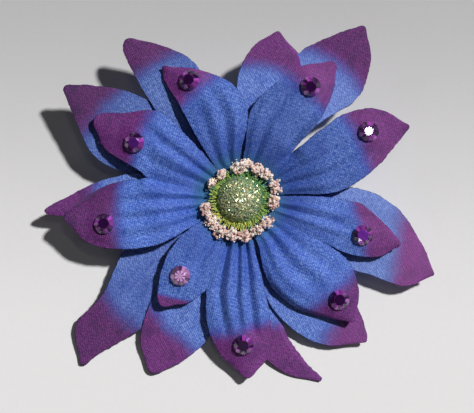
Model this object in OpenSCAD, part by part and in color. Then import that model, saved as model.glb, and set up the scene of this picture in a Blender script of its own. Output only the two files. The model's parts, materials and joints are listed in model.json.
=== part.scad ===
// Fabric flower hair clip: three die-cut petal sheets, rhinestones, a glitter centre, and a sprung alligator clip.
// Millimetres, +Z up. The part lies on the flat underside of the clip's lower jaw, at z = 0.

/* [View] */
// Node to draw, or "all"

/* [Flower] */
// Tilt of the flower and of the clip's upper plate above the lower jaw, degrees
tilt = 7; // [0:0.5:15]
// Height of the upper plate's top face below the flower's axis
plate_height = 5.6; // [4:0.1:8]
// Thickness of a stiffened petal sheet
sheet_thick = 0.4; // [0.2:0.05:0.8]
// Radius of the hole that is punched in each sheet
sheet_hole = 2.1; // [1.5:0.05:4]
// Radius up to which the petals of one sheet stay joined
collar = 11; // [8:0.5:14]
// Height of the lower sheet at the hub
lower_z = 2.62; // [2:0.02:4]
// Height of the middle sheet at the hub
middle_z = 3.12; // [2:0.02:5]
// Height of the upper sheet at the hub
upper_z = 3.62; // [2:0.02:6]

/* [Rhinestones] */
// Girdle radius of a rhinestone
gem_r = 3.2; // [2:0.1:5]
// Height of a rhinestone's crown above its girdle
gem_crown = 1.5; // [0.5:0.1:3]
// Height of a rhinestone's flat back below its girdle
gem_back = 0.5; // [0.2:0.1:2]
// Radius of the glue under a rhinestone
gem_glue_r = 2.6; // [1:0.1:4]
// Depth of the glue under a rhinestone
gem_glue = 1; // [0.2:0.1:2]

/* [Centre] */
// Radius of the seed head
dome_r = 7.2; // [5:0.1:10]
// Height of the seed head above its rim
dome_h = 4.6; // [2:0.1:8]
// Thickness of the glitter on the seed head
glitter = 0.45; // [0.2:0.05:1]
// Outer radius of the disc of filaments
filament_r = 9.6; // [7:0.1:13]
// Radius of the circle that the stamen tips stand on
tip_ring_r = 10.3; // [8:0.1:13]
// Mean radius of a stamen tip
tip_r = 1.8; // [1:0.05:3]
// Number of stamen tips
tip_count = 15; // [8:1:24]
// Radius of the hub's stem
stem_r = 2; // [1:0.05:3]
// Radius of the hub's foot flange
foot_r = 5.5; // [3:0.1:9]

/* [Backing] */
// Radius of the felt disc
felt_r = 16; // [10:0.5:25]
// Thickness of the felt disc
felt_thick = 1.2; // [0.5:0.1:3]
// Radius of the glue pad between the clip and the felt
pad_r = 5.6; // [3:0.1:8]
// Thickness of the glue pad
pad_thick = 0.8; // [0.2:0.1:2]

/* [Clip] */
// Width of the clip's plates
clip_w = 8; // [6:0.1:12]
// Thickness of the clip's sheet steel
clip_t = 0.6; // [0.3:0.05:1.2]
// Length of the clip in front of the hub
clip_front = 26; // [15:0.5:40]
// Length of the clip behind the hub
clip_rear = 20; // [10:0.5:30]
// Distance of the pivot behind the hub
pivot_y = 5; // [0:0.5:12]
// Height of the pivot
pivot_z = 3; // [2:0.1:5]
// Radius of the pivot pin
pin_r = 0.8; // [0.5:0.05:1.5]
// Radial clearance of the pin in the lower jaw
pin_clear = 0.06; // [0.01:0.01:0.1]
// Height of the jaw's teeth
tooth_h = 1.05; // [0.4:0.05:2]
// Radius of the spring's wire
wire_r = 0.3; // [0.15:0.05:0.6]
// Radius of the spring's coil at the middle of the wire
coil_r = 1.35; // [1:0.05:3]
// Turns of the spring
coil_turns = 3; // [1:1:6]

/* [Hidden] */
$fn = 48;
// Fractions of a petal's length at which its half widths are given
stations = [0.28, 0.5, 0.72, 0.9];
// Cells across a petal, and rows from the hub's hole to the tip
across = 6;
rows = 12;
// Petals, each [direction, length, right edge, left edge, [tip offset, tip half width],
// [middle height, tip height, edge lift, twist], [crease depth, creases, phase]], by eye, in millimetres and degrees
upper = [
  [23, 57, [-5, -9.8, -8.3, -3.6], [5.4, 9.2, 11.9, 8.7], [0.5, 1], [7.6, 7.6, -0.5, 0.4], [0.5, 2.5, 30]],
  [56, 50.5, [-3.1, -5.8, -6.8, -5], [7.6, 12.8, 11, 7], [-0.5, 2], [7.2, 7.4, -0.8, 0.7], [0.35, 2, 200]],
  [112, 47, [-5.6, -12.2, -11.6, -3.5], [3.6, 5.4, 6.5, 7.8], [6.4, 1], [8, 5.6, -0.6, -0.4], [0.35, 2, 80]],
  [152, 49.5, [-6, -10, -12.3, -7], [3.6, 6.5, 6.8, 6], [-1, 3.4], [7.4, 5.8, -0.7, 0], [0.35, 2, 10]],
  [186, 54, [-5, -9, -9.2, -5.5], [6.7, 11.4, 11.7, 8.8], [0.3, 1.8], [7.2, 7, -0.5, 0.3], [0.6, 3, 120]],
  [231, 39, [-4.2, -7, -6.6, -4], [3.5, 6.3, 9.2, 8], [1.5, 3], [6.6, 6.2, -0.3, 0], [0.3, 2, 40]],
  [271, 54.4, [-5.9, -10.6, -10.9, -6.8], [4.2, 7, 9, 8.3], [1.5, 2.4], [7.2, 5.6, -0.9, 0.2], [0.7, 3, 300]],
  [311, 51.5, [-5, -10.4, -9.2, -3.6], [5.7, 10.6, 13, 9.2], [1.8, 1.2], [7, 6.4, -0.8, -0.4], [0.4, 2, 150]],
  [346, 51, [-3.3, -5.9, -8.4, -7.2], [4.6, 7.1, 7.8, 3.5], [-1.5, 1.5], [7.2, 7.2, -0.6, 0.3], [0.4, 2, 60]]];
upper_slits = [42, 86.5, 127, 167.2, 210, 249.5, 287, 332.6, 365.3];
middle = [
  [76, 53, [-4, -9, -11, -8], [4.5, 8, 10, 7.5], [1, 1.5], [3.6, 3.6, -0.3, 0], [0.3, 2, 0]],
  [127, 59.6, [-6, -12, -14.5, -9.4], [4, 4.7, 4, 2.6], [-1.5, 2.8], [3.5, 3.2, -0.3, 0], [0.25, 2, 90]],
  [183, 61, [-7, -10, -8, -3.3], [7, 9, 7, 2.8], [0.5, 1], [3.5, 2.8, -0.3, 0], [0.25, 2, 40]],
  [243, 59, [-6, -8.5, -10.2, -8.1], [6, 9.5, 11.2, 7.4], [-0.1, 3.1], [3.4, 2.6, -0.2, 0], [0.25, 3, 0]],
  [309, 58.8, [-6.5, -13, -12.9, -7.8], [4, 7, 9, 6.5], [2.5, 1.5], [3.4, 3, -0.2, 0], [0.25, 2, 20]],
  [337, 64.8, [-4, -7.6, -6, -5], [9.4, 17.6, 16.8, 9.4], [2, 1], [3.6, 3.6, -0.3, 0.2], [0.3, 2.5, 10]]];
middle_slits = [101, 156, 213, 277, 323, 382];
lower = [
  [22, 50, [-4, -7, -8, -5], [3.5, 6, 9.8, 11.6], [3, 2], [2.7, 2.6, -0.1, 0], [0.1, 2, 0]],
  [55, 66, [-4, -6.5, -12.1, -8.8], [6, 11, 11.6, 5.5], [-1, 1.5], [2.5, 3, -0.2, 0], [0.2, 2, 60]],
  [150, 64.4, [-7, -12, -12.1, -7.9], [6, 10.4, 11.3, 3.8], [-2.8, 1.6], [2.6, 3.4, -0.2, 0], [0.2, 2, 0]],
  [226, 71.5, [-10, -15, -10.4, -9.7], [6, 8.4, 5.9, 2.3], [0, 1.2], [2.4, 1.8, -0.1, 0], [0.15, 2, 90]],
  [293, 62.2, [-6, -11, -13.4, -8.3], [3, -1, -3.1, -0.8], [1, 0.8], [2.4, 2.2, -0.1, 0], [0.15, 2, 0]]];
lower_slits = [38, 102, 188, 262, 336];
// Rhinestones, each [petal of the upper sheet, distance along it, offset to its left]
gems = [[0, 45.3, 3.7], [1, 41.6, 1.5], [2, 40.4, 0.7], [3, 37.4, -0.2], [4, 43.1, 3.3], [5, 30.3, 0.6],
        [6, 45.6, 0.4], [7, 44.2, 2.7], [8, 40, -1.6]];
gem_names = ["rhinestone_1", "rhinestone_2", "rhinestone_3", "rhinestone_4", "rhinestone_5", "rhinestone_6",
             "rhinestone_7", "rhinestone_8", "rhinestone_9"];
felt_z = pad_thick;
foot_z = felt_z + felt_thick;
dome_z = 5.4;
dome_skirt = 0.6;
tip_z = 6.1;
washer_r = 3.5;
washer_thick = 0.7;
washer_z = upper_z + sheet_thick / 2 + 0.05;
flange_in = 2.4;
ear_in = 3.4;
pin_half = clip_w / 2 + 0.1;

function mix(a, b, t) = a + (b - a) * t;
function smooth(a, b, x) = let (t = max(0, min(1, (x - a) / (b - a)))) t * t * (3 - 2 * t);
function polar(r, a) = [r * cos(a), r * sin(a)];
function along(p, u, v) = [u * cos(p[0]) - v * sin(p[0]), u * sin(p[0]) + v * cos(p[0])];
function spline(a, b, c, d, t) =
  0.5 * (2 * b + (c - a) * t + (2 * a - 5 * b + 4 * c - d) * t * t + (3 * b - a - 3 * c + d) * t * t * t);
// One edge of a petal, from the collar to the tip; side is 2 for the right edge and 3 for the left
function edge_points(p, side, slit) = concat(
  [polar(collar, slit)],
  [for (k = [0 : 3]) along(p, stations[k] * p[1], p[side][k])],
  [along(p, p[1], p[4][0] + (side == 2 ? -1 : 1) * p[4][1])]);
function edge_at(q, row) =
  let (w = (row - 2) / 2, k = min(floor(w), 4), a = q[k], b = q[k + 1])
  spline(k == 0 ? 2 * a - b : q[k - 1], a, b, k == 4 ? 2 * b - a : q[k + 2], w - k);
function turned(a, near) = a + 360 * round((near - a) / 360);
function heading(q, near) = turned(atan2(q[1], q[0]), near);
// Place of a petal's surface in plan, as [distance from the axis, heading]
function plan(p, right_q, left_q, slits, row, t) =
  row < 2 ? [mix(sheet_hole, collar, row / 2), mix(slits[0], slits[1], t)]
  : let (a = edge_at(right_q, row), b = edge_at(left_q, row))
    [mix(norm(a), norm(b), t) + p[4][1] * 0.8 * 4 * t * (1 - t) * smooth(9, rows, row),
     mix(heading(a, p[0]), heading(b, p[0]), t)];
// Height of a petal's surface; x is the distance along it as a share of its length, t is 0 at the right edge
function height(p, hub_z, x, t) =
  let (free = smooth(0.22, 0.6, x), side = 2 * t - 1)
  mix(hub_z, p[5][0], free) + (p[5][1] - p[5][0]) * smooth(0.6, 1, x)
  + free * (p[5][2] * side * side + p[5][3] * side)
  + p[6][0] * cos(180 * p[6][1] * side + p[6][2]) * smooth(0.35, 0.6, x) * (1 - 0.85 * smooth(0.6, 0.85, x));
// Height of a petal's surface at u along it and v to its left
function height_at(p, hub_z, u, v) =
  let (x = u / p[1], f = lookup(x, [[0.28, 0], [0.5, 1], [0.72, 2], [0.9, 3]]), k = min(floor(f), 2),
       r = mix(p[2][k], p[2][k + 1], f - k), l = mix(p[3][k], p[3][k + 1], f - k))
  height(p, hub_z, norm([u, v]) / p[1], (v - r) / (l - r));

// A closed sheet of petals that are joined inside the collar
module petal_sheet(petals, slits, hub_z) {
  n = len(petals);
  side_count = across + 1;
  block = (rows + 1) * side_count;
  layer = n * block;
  mid = [for (i = [0 : n - 1])
    let (p = petals[i], first = i == 0 ? slits[n - 1] - 360 : slits[i - 1], ends = [first, slits[i]],
         rq = edge_points(p, 2, ends[0]), lq = edge_points(p, 3, ends[1]))
    for (row = [0 : rows]) for (c = [0 : across])
      let (q = plan(p, rq, lq, ends, row, c / across), xy = polar(q[0], q[1]))
      [xy[0], xy[1], row <= 2 ? hub_z : height(p, hub_z, q[0] / p[1], c / across)]];
  points = concat([for (m = mid) m + [0, 0, sheet_thick / 2]], [for (m = mid) m - [0, 0, sheet_thick / 2]]);
  // Inside the collar a petal's last column is its neighbour's first one
  function at(i, row, c) = c == across && row <= 2 ? ((i + 1) % n) * block + row * side_count
                                                  : i * block + row * side_count + c;
  function two(a, b, c, d) = [[a, b, c], [a, c, d]];
  faces = [for (i = [0 : n - 1])
    let (cells = [for (row = [0 : rows - 1]) for (c = [0 : across - 1])
           let (a = at(i, row, c), b = at(i, row + 1, c), d = at(i, row + 1, c + 1), e = at(i, row, c + 1))
           each concat(two(a, b, d, e), two(e + layer, d + layer, b + layer, a + layer))],
         hole = [for (c = [0 : across - 1]) let (a = at(i, 0, c), b = at(i, 0, c + 1))
           each two(a, b, b + layer, a + layer)],
         tip = [for (c = [0 : across - 1]) let (a = at(i, rows, c), b = at(i, rows, c + 1))
           each two(b, a, a + layer, b + layer)],
         sides = [for (row = [2 : rows - 1])
           let (a = at(i, row, 0), b = at(i, row + 1, 0), d = at(i, row, across), e = at(i, row + 1, across))
           each concat(two(b, a, a + layer, b + layer), two(d, e, e + layer, d + layer))])
    each concat(cells, hole, tip, sides)];
  polyhedron(points, faces, convexity = 12);
}

// The flower's own frame: its axis leans with the clip's upper plate
module flower_frame() {
  translate([0, 0, plate_height]) rotate([tilt, 0, 0]) children();
}

// A frame that sits on a petal's top face at a rhinestone, with +Z square to the cloth
module on_petal(g) {
  p = upper[g[0]];
  half = 1.5;
  z = height_at(p, upper_z, g[1], g[2]);
  du = (height_at(p, upper_z, g[1] + half, g[2]) - height_at(p, upper_z, g[1] - half, g[2])) / (2 * half);
  dv = (height_at(p, upper_z, g[1], g[2] + half) - height_at(p, upper_z, g[1], g[2] - half)) / (2 * half);
  rotate([0, 0, p[0]]) translate([g[1], g[2], z + sheet_thick / 2])
    rotate([atan(dv), 0, 0]) rotate([0, -atan(du), 0]) children();
}

// A flat-backed stone with a table, eight kite facets and sixteen girdle facets
module stone() {
  ring = [for (k = [0 : 15]) polar(gem_r, k * 22.5)];
  waist = [for (k = [0 : 7]) polar(gem_r * 0.8, k * 45 + 22.5)];
  table = [for (k = [0 : 7]) polar(gem_r * 0.5, k * 45)];
  points = concat([for (q = ring) [q[0], q[1], -gem_back]], [for (q = ring) [q[0], q[1], 0]],
                  [for (q = waist) [q[0], q[1], gem_crown * 0.62]], [for (q = table) [q[0], q[1], gem_crown]]);
  polyhedron(points, concat(
    [[for (k = [0 : 15]) k]],
    [for (k = [0 : 15]) each [[k, 16 + k, 16 + (k + 1) % 16], [k, 16 + (k + 1) % 16, (k + 1) % 16]]],
    [for (k = [0 : 7]) each [
      [16 + 2 * k, 32 + k, 16 + 2 * k + 1],
      [16 + 2 * k + 1, 32 + k, 16 + (2 * k + 2) % 16],
      [16 + (2 * k + 2) % 16, 32 + k, 40 + (k + 1) % 8],
      [16 + (2 * k + 2) % 16, 40 + (k + 1) % 8, 32 + (k + 1) % 8],
      [32 + k, 40 + k, 40 + (k + 1) % 8]]],
    [[for (k = [0 : 7]) 40 + 7 - k]]), convexity = 4);
}

module petal_sheet_upper() {
  color([0.16, 0.27, 0.78]) flower_frame() petal_sheet(upper, upper_slits, upper_z);
}

module petal_sheet_middle() {
  color([0.18, 0.3, 0.8]) flower_frame() petal_sheet(middle, middle_slits, middle_z);
}

module petal_sheet_lower() {
  color([0.2, 0.3, 0.75]) flower_frame() petal_sheet(lower, lower_slits, lower_z);
}

module rhinestone(index) {
  color([0.45, 0.1, 0.6]) flower_frame() on_petal(gems[index]) translate([0, 0, gem_glue / 2 + gem_back]) stone();
}

module rhinestone_glue() {
  color([0.8, 0.8, 0.85]) flower_frame()
    for (g = gems) on_petal(g) translate([0, 0, -gem_glue / 2]) cylinder(r = gem_glue_r, h = gem_glue);
}

// Cap of a sphere with the given rim radius and height, standing on z = 0
module cap(rim, tall) {
  r = (rim * rim + tall * tall) / (2 * tall);
  intersection() {
    translate([0, 0, tall - r]) sphere(r = r);
    cylinder(r = rim + 1, h = tall + 1);
  }
}

module seed_head() {
  color([0.1, 0.4, 0.33]) flower_frame() translate([0, 0, dome_z]) {
    cap(dome_r, dome_h);
    translate([0, 0, -dome_skirt]) cylinder(r = dome_r, h = dome_skirt);
  }
}

module glitter_cap() {
  color([0.6, 0.58, 0.3]) flower_frame() translate([0, 0, dome_z]) difference() {
    translate([0, 0, 1]) cap(dome_r - 0.7, dome_h + glitter - 1);
    translate([0, 0, -0.01]) cap(dome_r + 0.02, dome_h + 0.02);
  }
}

module stamen_filaments() {
  under = dome_z - dome_skirt;
  top = upper_z + sheet_thick / 2;
  color([0.65, 0.75, 0.25]) flower_frame() rotate_extrude()
    polygon([[washer_r + 0.1, top + 0.3], [washer_r + 0.1, under], [dome_r + 0.02, under],
             [filament_r, under + 0.4], [filament_r, under - 0.2], [filament_r - 1.4, top + 0.02]]);
}

module stamen_tips() {
  color([0.92, 0.68, 0.62]) flower_frame() for (k = [0 : tip_count - 1]) {
    a = k * 360 / tip_count + 1.5 * sin(k * 140);
    grain = tip_r * (1 + 0.1 * sin(k * 77));
    translate([tip_ring_r * cos(a), tip_ring_r * sin(a), tip_z + 0.3 * sin(k * 200)]) sphere(r = grain, $fn = 24);
  }
}

module hub_stem() {
  color([0.2, 0.55, 0.3]) flower_frame() translate([0, 0, foot_z]) {
    cylinder(r = foot_r, h = lower_z - sheet_thick / 2 - foot_z - 0.02);
    cylinder(r = stem_r, h = dome_z - dome_skirt - foot_z);
  }
}

module hub_washer() {
  color([0.2, 0.55, 0.3]) flower_frame() translate([0, 0, washer_z]) difference() {
    cylinder(r = washer_r, h = washer_thick);
    translate([0, 0, -1]) cylinder(r = stem_r - 0.02, h = 3);
  }
}

module felt_backing() {
  color([0.25, 0.3, 0.6]) flower_frame() translate([0, 0, felt_z]) cylinder(r = felt_r, h = felt_thick, $fn = 96);
}

module glue_pad() {
  color([0.85, 0.84, 0.78]) flower_frame() cylinder(r = pad_r, h = pad_thick);
}

// Outline of a plate in plan: parallel sides, a tapered front and a round rear corner
module plate_outline() {
  w = clip_w / 2;
  polygon([[-w * 0.55, -clip_front], [w * 0.55, -clip_front], [w, -clip_front + 9], [w, clip_rear - 1.5],
           [w - 1.5, clip_rear], [1.5 - w, clip_rear], [-w, clip_rear - 1.5], [-w, -clip_front + 9]]);
}

// Side wall that carries the pin, in the Y-Z plane, from its inner face outwards
module wall(inner, to_z, lean, bore) {
  for (s = [-1, 1]) translate([s * (inner + clip_t / 2), 0, 0]) rotate([90, 0, 90])
    linear_extrude(height = clip_t, center = true) difference() {
      union() {
        translate([pivot_y, pivot_z]) circle(r = 1.7);
        polygon([[pivot_y - 1.7, pivot_z], [pivot_y + 1.7, pivot_z],
                 [pivot_y + 3.5, to_z + lean * 3.5], [pivot_y - 3.5, to_z - lean * 3.5]]);
      }
      translate([pivot_y, pivot_z]) circle(r = bore);
    }
}

module clip_upper_plate() {
  under = plate_height - clip_t / cos(tilt) + pivot_y * tan(tilt);
  color([0.78, 0.79, 0.8]) union() {
    flower_frame() translate([0, 0, -clip_t]) linear_extrude(height = clip_t) plate_outline();
    wall(flange_in, under + 0.2, tan(tilt), pin_r - 0.01);
  }
}

module clip_lower_jaw() {
  color([0.74, 0.75, 0.77]) union() {
    linear_extrude(height = clip_t) plate_outline();
    wall(ear_in, clip_t / 2, 0, pin_r + pin_clear);
    for (s = [-1, 1]) for (k = [0 : 2]) translate([s * 1.35, -clip_front + 0.5 + k * 2, clip_t - 0.01])
      rotate([90, 0, 90]) linear_extrude(height = 1.1, center = true)
        polygon([[0, 0], [1.6, 0], [0.8, tooth_h + k * 2 * tan(tilt)]]);
  }
}

module clip_pin() {
  color([0.8, 0.8, 0.82]) translate([0, pivot_y, pivot_z]) rotate([0, 90, 0]) {
    cylinder(r = pin_r, h = 2 * pin_half + 0.8, center = true);
    for (s = [-1, 1]) translate([0, 0, s * (pin_half + 0.25)]) cylinder(r = 1.25, h = 0.5, center = true);
  }
}

// Wire of the torsion spring: a leg under the upper plate, the coil round the pin, a leg on the lower jaw
module clip_spring() {
  steps = coil_turns * 16 + 10;
  reach = 8.5;
  sides = 8;
  width = 1.35;
  top_gap = plate_height - clip_t / cos(tilt) - wire_r * 1.3;
  path = concat(
    [[-width, pivot_y + reach, top_gap + (pivot_y + reach) * tan(tilt)]],
    [for (k = [0 : steps]) let (a = 85 + k * (coil_turns * 360 + 190) / steps)
      [mix(-width, width, k / steps), pivot_y + coil_r * cos(a), pivot_z + coil_r * sin(a)]],
    [[width, pivot_y + reach, clip_t + wire_r * 1.3]]);
  n = len(path);
  rings = [for (k = [0 : n - 1])
    let (d = path[min(k + 1, n - 1)] - path[max(k - 1, 0)], t = d / norm(d), b0 = cross(t, [1, 0, 0]),
         b = b0 / norm(b0), a = cross(b, t))
    for (m = [0 : sides - 1]) path[k] + wire_r * (cos(m * 360 / sides) * a + sin(m * 360 / sides) * b)];
  color([0.6, 0.6, 0.62]) polyhedron(rings, concat(
    [[for (m = [0 : sides - 1]) m]],
    [for (k = [0 : n - 2]) for (m = [0 : sides - 1]) let (a = k * sides + m, b = k * sides + (m + 1) % sides)
      each [[a, a + sides, b + sides], [a, b + sides, b]]],
    [[for (m = [0 : sides - 1]) n * sides - 1 - m]]), convexity = 10);
}

petal_sheet_upper();
petal_sheet_middle();
petal_sheet_lower();
for (k = [0 : 8]) rhinestone(k);
rhinestone_glue();
seed_head();
glitter_cap();
stamen_filaments();
stamen_tips();
hub_stem();
hub_washer();
felt_backing();
glue_pad();
clip_upper_plate();
clip_lower_jaw();
clip_spring();
clip_pin();
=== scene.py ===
"""Dresses a packed fabric flower hair clip: petal sheets, foiled stones, a glitter seed head, a sprung clip.

Everything is in metres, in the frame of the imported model. The flower's own frame leans on the clip, so the
flower's pieces are worked out in millimetres in that frame and then placed.
"""

from __future__ import annotations

import json
import logging
import math
from dataclasses import dataclass, field
from enum import Enum

import bpy
import numpy as np
from mathutils import Matrix, Quaternion, Vector, noise

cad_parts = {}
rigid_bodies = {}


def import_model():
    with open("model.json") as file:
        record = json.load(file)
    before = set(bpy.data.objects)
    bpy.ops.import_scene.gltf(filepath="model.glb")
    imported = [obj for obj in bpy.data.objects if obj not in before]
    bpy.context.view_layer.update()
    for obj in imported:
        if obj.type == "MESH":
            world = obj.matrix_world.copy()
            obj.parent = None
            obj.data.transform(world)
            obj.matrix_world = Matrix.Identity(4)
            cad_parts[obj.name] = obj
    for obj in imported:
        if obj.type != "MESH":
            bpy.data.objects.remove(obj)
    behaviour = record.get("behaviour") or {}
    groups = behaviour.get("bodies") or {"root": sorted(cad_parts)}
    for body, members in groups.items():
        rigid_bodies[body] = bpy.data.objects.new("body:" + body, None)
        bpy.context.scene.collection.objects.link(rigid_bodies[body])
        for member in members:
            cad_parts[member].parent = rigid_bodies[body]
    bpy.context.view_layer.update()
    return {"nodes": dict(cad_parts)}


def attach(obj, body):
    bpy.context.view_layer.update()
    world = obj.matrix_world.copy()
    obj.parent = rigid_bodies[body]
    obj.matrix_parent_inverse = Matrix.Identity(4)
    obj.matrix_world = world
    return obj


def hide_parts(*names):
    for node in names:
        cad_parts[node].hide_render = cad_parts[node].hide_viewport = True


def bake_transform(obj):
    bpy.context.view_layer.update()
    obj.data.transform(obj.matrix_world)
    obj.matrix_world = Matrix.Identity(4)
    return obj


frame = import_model()

log = logging.getLogger("flower_clip")
MM = 0.001
PER_METRE = 1000  # millimetres in a metre, for meshes that come in metres and are placed as millimetres
GOLDEN_ANGLE = 2.399963  # radians; spreads the flakes evenly over the dome
OUTERMOST = 0.999  # further across a petal than this is its last column


# Helpers for places and curves --------------------------------------------------------------------


def smooth(low: float, high: float, x: np.ndarray | float) -> np.ndarray:
    """Rises softly from 0 at low to 1 at high.

    Args:
        low: Where the rise starts.
        high: Where it ends.
        x: One value or an array.

    Returns:
        The share, from 0 to 1, in the shape of x.
    """
    t = np.clip((np.asarray(x, float) - low) / (high - low), 0, 1)
    return t * t * (3 - 2 * t)


def mix(a: np.ndarray | float, b: np.ndarray | float, share: np.ndarray | float) -> np.ndarray:
    """Goes from a to b as share goes from 0 to 1."""
    return a + (b - a) * share


def ripple(points: np.ndarray, size: float, seed: float) -> np.ndarray:
    """Soft random bumps, the same on every run.

    Args:
        points: Places as rows of x, y and z, or of x and y.
        size: How wide one bump is, in the points' unit.
        seed: Picks one pattern.

    Returns:
        One value from about -1 to 1 for each point.
    """
    places = [(p[0] / size + seed, p[1] / size - seed, seed * 1.7) for p in np.atleast_2d(points)]
    return np.array([noise.noise(Vector(place)) for place in places])


@dataclass(frozen=True)
class FlowerFrame:
    """The leaning frame that the flower is built in, as the clip's upper plate carries it."""

    tilt: float = math.radians(7)
    height: float = 5.6

    def matrix(self) -> Matrix:
        """Takes millimetres in the flower's frame to metres in the model's frame."""
        lean = Matrix.Rotation(self.tilt, 4, "X")
        return Matrix.Translation((0, 0, self.height * MM)) @ lean @ Matrix.Scale(MM, 4)

    def place(self, points: np.ndarray) -> np.ndarray:
        """Takes rows of millimetres in the flower's frame to metres in the model's frame."""
        m = np.array(self.matrix())
        return points @ m[:3, :3].T + m[:3, 3]


FLOWER = FlowerFrame()


# Shader arithmetic --------------------------------------------------------------------------------


class Value:
    """A shader socket that takes part in Python arithmetic."""

    def __init__(self, shader: Shader, socket: bpy.types.NodeSocket) -> None:
        """Wraps socket, which belongs to shader."""
        self.shader, self.socket = shader, socket

    def __add__(self, other: Value | float) -> Value:
        """Adds."""
        return self.shader.maths("ADD", self, other)

    def __radd__(self, other: float) -> Value:
        """Adds, from the right."""
        return self.shader.maths("ADD", other, self)

    def __sub__(self, other: Value | float) -> Value:
        """Subtracts."""
        return self.shader.maths("SUBTRACT", self, other)

    def __rsub__(self, other: float) -> Value:
        """Subtracts this from a number."""
        return self.shader.maths("SUBTRACT", other, self)

    def __mul__(self, other: Value | float) -> Value:
        """Multiplies."""
        return self.shader.maths("MULTIPLY", self, other)

    def __rmul__(self, other: float) -> Value:
        """Multiplies, from the right."""
        return self.shader.maths("MULTIPLY", other, self)

    def __truediv__(self, other: Value | float) -> Value:
        """Divides."""
        return self.shader.maths("DIVIDE", self, other)

    def __pow__(self, other: Value | float) -> Value:
        """Raises to a power."""
        return self.shader.maths("POWER", self, other)


Linkable = Value | float | int | tuple


class Shader:
    """One material's node tree, built by arithmetic and by add()."""

    def __init__(self, name: str) -> None:
        """Starts an empty material called name.

        Args:
            name: The material's name.
        """
        self.material = bpy.data.materials.new(name)
        self.material.use_nodes = True
        self.nodes, self.links = self.material.node_tree.nodes, self.material.node_tree.links
        self.nodes.clear()

    def add(self, kind: str, settings: dict | None = None, inputs: dict | None = None) -> bpy.types.Node:
        """Adds a node.

        Args:
            kind: The node's type.
            settings: The node's own settings, set first. "stops" gives a colour ramp's places and colours.
            inputs: Values or links, by the socket's name or number.

        Returns:
            The node.
        """
        node = self.nodes.new(kind)
        for key, value in (settings or {}).items():
            if key == "stops":
                ramp = node.color_ramp
                while len(ramp.elements) < len(value):
                    ramp.elements.new(0.5)
                for element, (place, colour) in zip(ramp.elements, value):
                    element.position, element.color = place, (*colour, 1)
            else:
                setattr(node, key, value)
        for key, value in (inputs or {}).items():
            self.feed(node.inputs[key], value)
        return node

    def feed(self, socket: bpy.types.NodeSocket, value: Linkable) -> None:
        """Links a Value to a socket, or sets a number or colour on it.

        Args:
            socket: The socket.
            value: What goes into it.
        """
        if isinstance(value, Value):
            self.links.new(value.socket, socket)
        elif isinstance(value, tuple) and len(value) == 3 and len(socket.default_value) == 4:
            socket.default_value = (*value, 1)
        else:
            socket.default_value = value

    def out(self, node: bpy.types.Node, name: str | int = 0) -> Value:
        """Wraps one of a node's outputs."""
        return Value(self, node.outputs[name])

    def maths(self, operation: str, a: Linkable, b: Linkable = 0.0, clamp: bool = False) -> Value:
        """One Math node."""
        settings = {"operation": operation, "use_clamp": clamp}
        return self.out(self.add("ShaderNodeMath", settings, {0: a, 1: b}))

    def ramp(self, low: float, high: float, x: Value) -> Value:
        """Rises softly from 0 where x is low to 1 where x is high."""
        node = self.add("ShaderNodeMapRange", {"interpolation_type": "SMOOTHSTEP"}, {0: x, 1: low, 2: high})
        return self.out(node)

    def blend(self, a: Linkable, b: Linkable, share: Linkable, kind: str = "MIX") -> Value:
        """Mixes two colours by share, from 0 to 1."""
        settings = {"data_type": "RGBA", "blend_type": kind, "clamp_factor": True}
        return self.out(self.add("ShaderNodeMix", settings, {0: share, 6: a, 7: b}), 2)

    def noise(self, where: Value, scale: float, detail: float = 2.0, roughness: float = 0.5) -> Value:
        """Cloudy noise from 0 to 1."""
        inputs = {"Vector": where, "Scale": scale, "Detail": detail, "Roughness": roughness}
        return self.out(self.add("ShaderNodeTexNoise", {}, inputs))

    def attribute(self, name: str) -> Value:
        """A number that the mesh carries."""
        return self.out(self.add("ShaderNodeAttribute", {"attribute_name": name}), "Fac")

    def place(self) -> Value:
        """The piece's own coordinates, in metres."""
        return self.out(self.add("ShaderNodeTexCoord"), "Object")

    def flat(self, name: str) -> Value:
        """The piece's own flat pattern."""
        return self.out(self.add("ShaderNodeUVMap", {"uv_map": name}))

    def stretch(self, where: Value, scale: tuple, turn: float = 0.0) -> Value:
        """Turns a pattern about Z, in radians, and scales it."""
        inputs = {"Vector": where, "Rotation": (0, 0, turn), "Scale": scale}
        return self.out(self.add("ShaderNodeMapping", {}, inputs))

    def parts(self, where: Value) -> tuple[Value, Value, Value]:
        """Splits a vector into its three numbers."""
        node = self.add("ShaderNodeSeparateXYZ", {}, {0: where})
        return self.out(node, 0), self.out(node, 1), self.out(node, 2)

    def vector(self, operation: str, a: Linkable, b: Linkable, output: str = "Vector") -> Value:
        """One Vector Math node; output names which of its results is wanted."""
        return self.out(self.add("ShaderNodeVectorMath", {"operation": operation}, {0: a, 1: b}), output)

    def bump(self, height: Value, distance: float, strength: float = 1.0) -> Value:
        """A Bump node; distance is in metres."""
        inputs = {"Height": height, "Distance": distance, "Strength": strength}
        return self.out(self.add("ShaderNodeBump", {}, inputs))

    def finish(self, **sockets: Linkable) -> bpy.types.Material:
        """Adds the surface. A socket's name has underscores for its spaces.

        Args:
            sockets: What goes into each of the surface's sockets.

        Returns:
            The finished material.
        """
        inputs = {key.replace("_", " "): value for key, value in sockets.items()}
        surface = self.add("ShaderNodeBsdfPrincipled", {}, inputs)
        self.add("ShaderNodeOutputMaterial", {}, {0: self.out(surface)})
        return self.material


# Finishes -----------------------------------------------------------------------------------------


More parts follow.
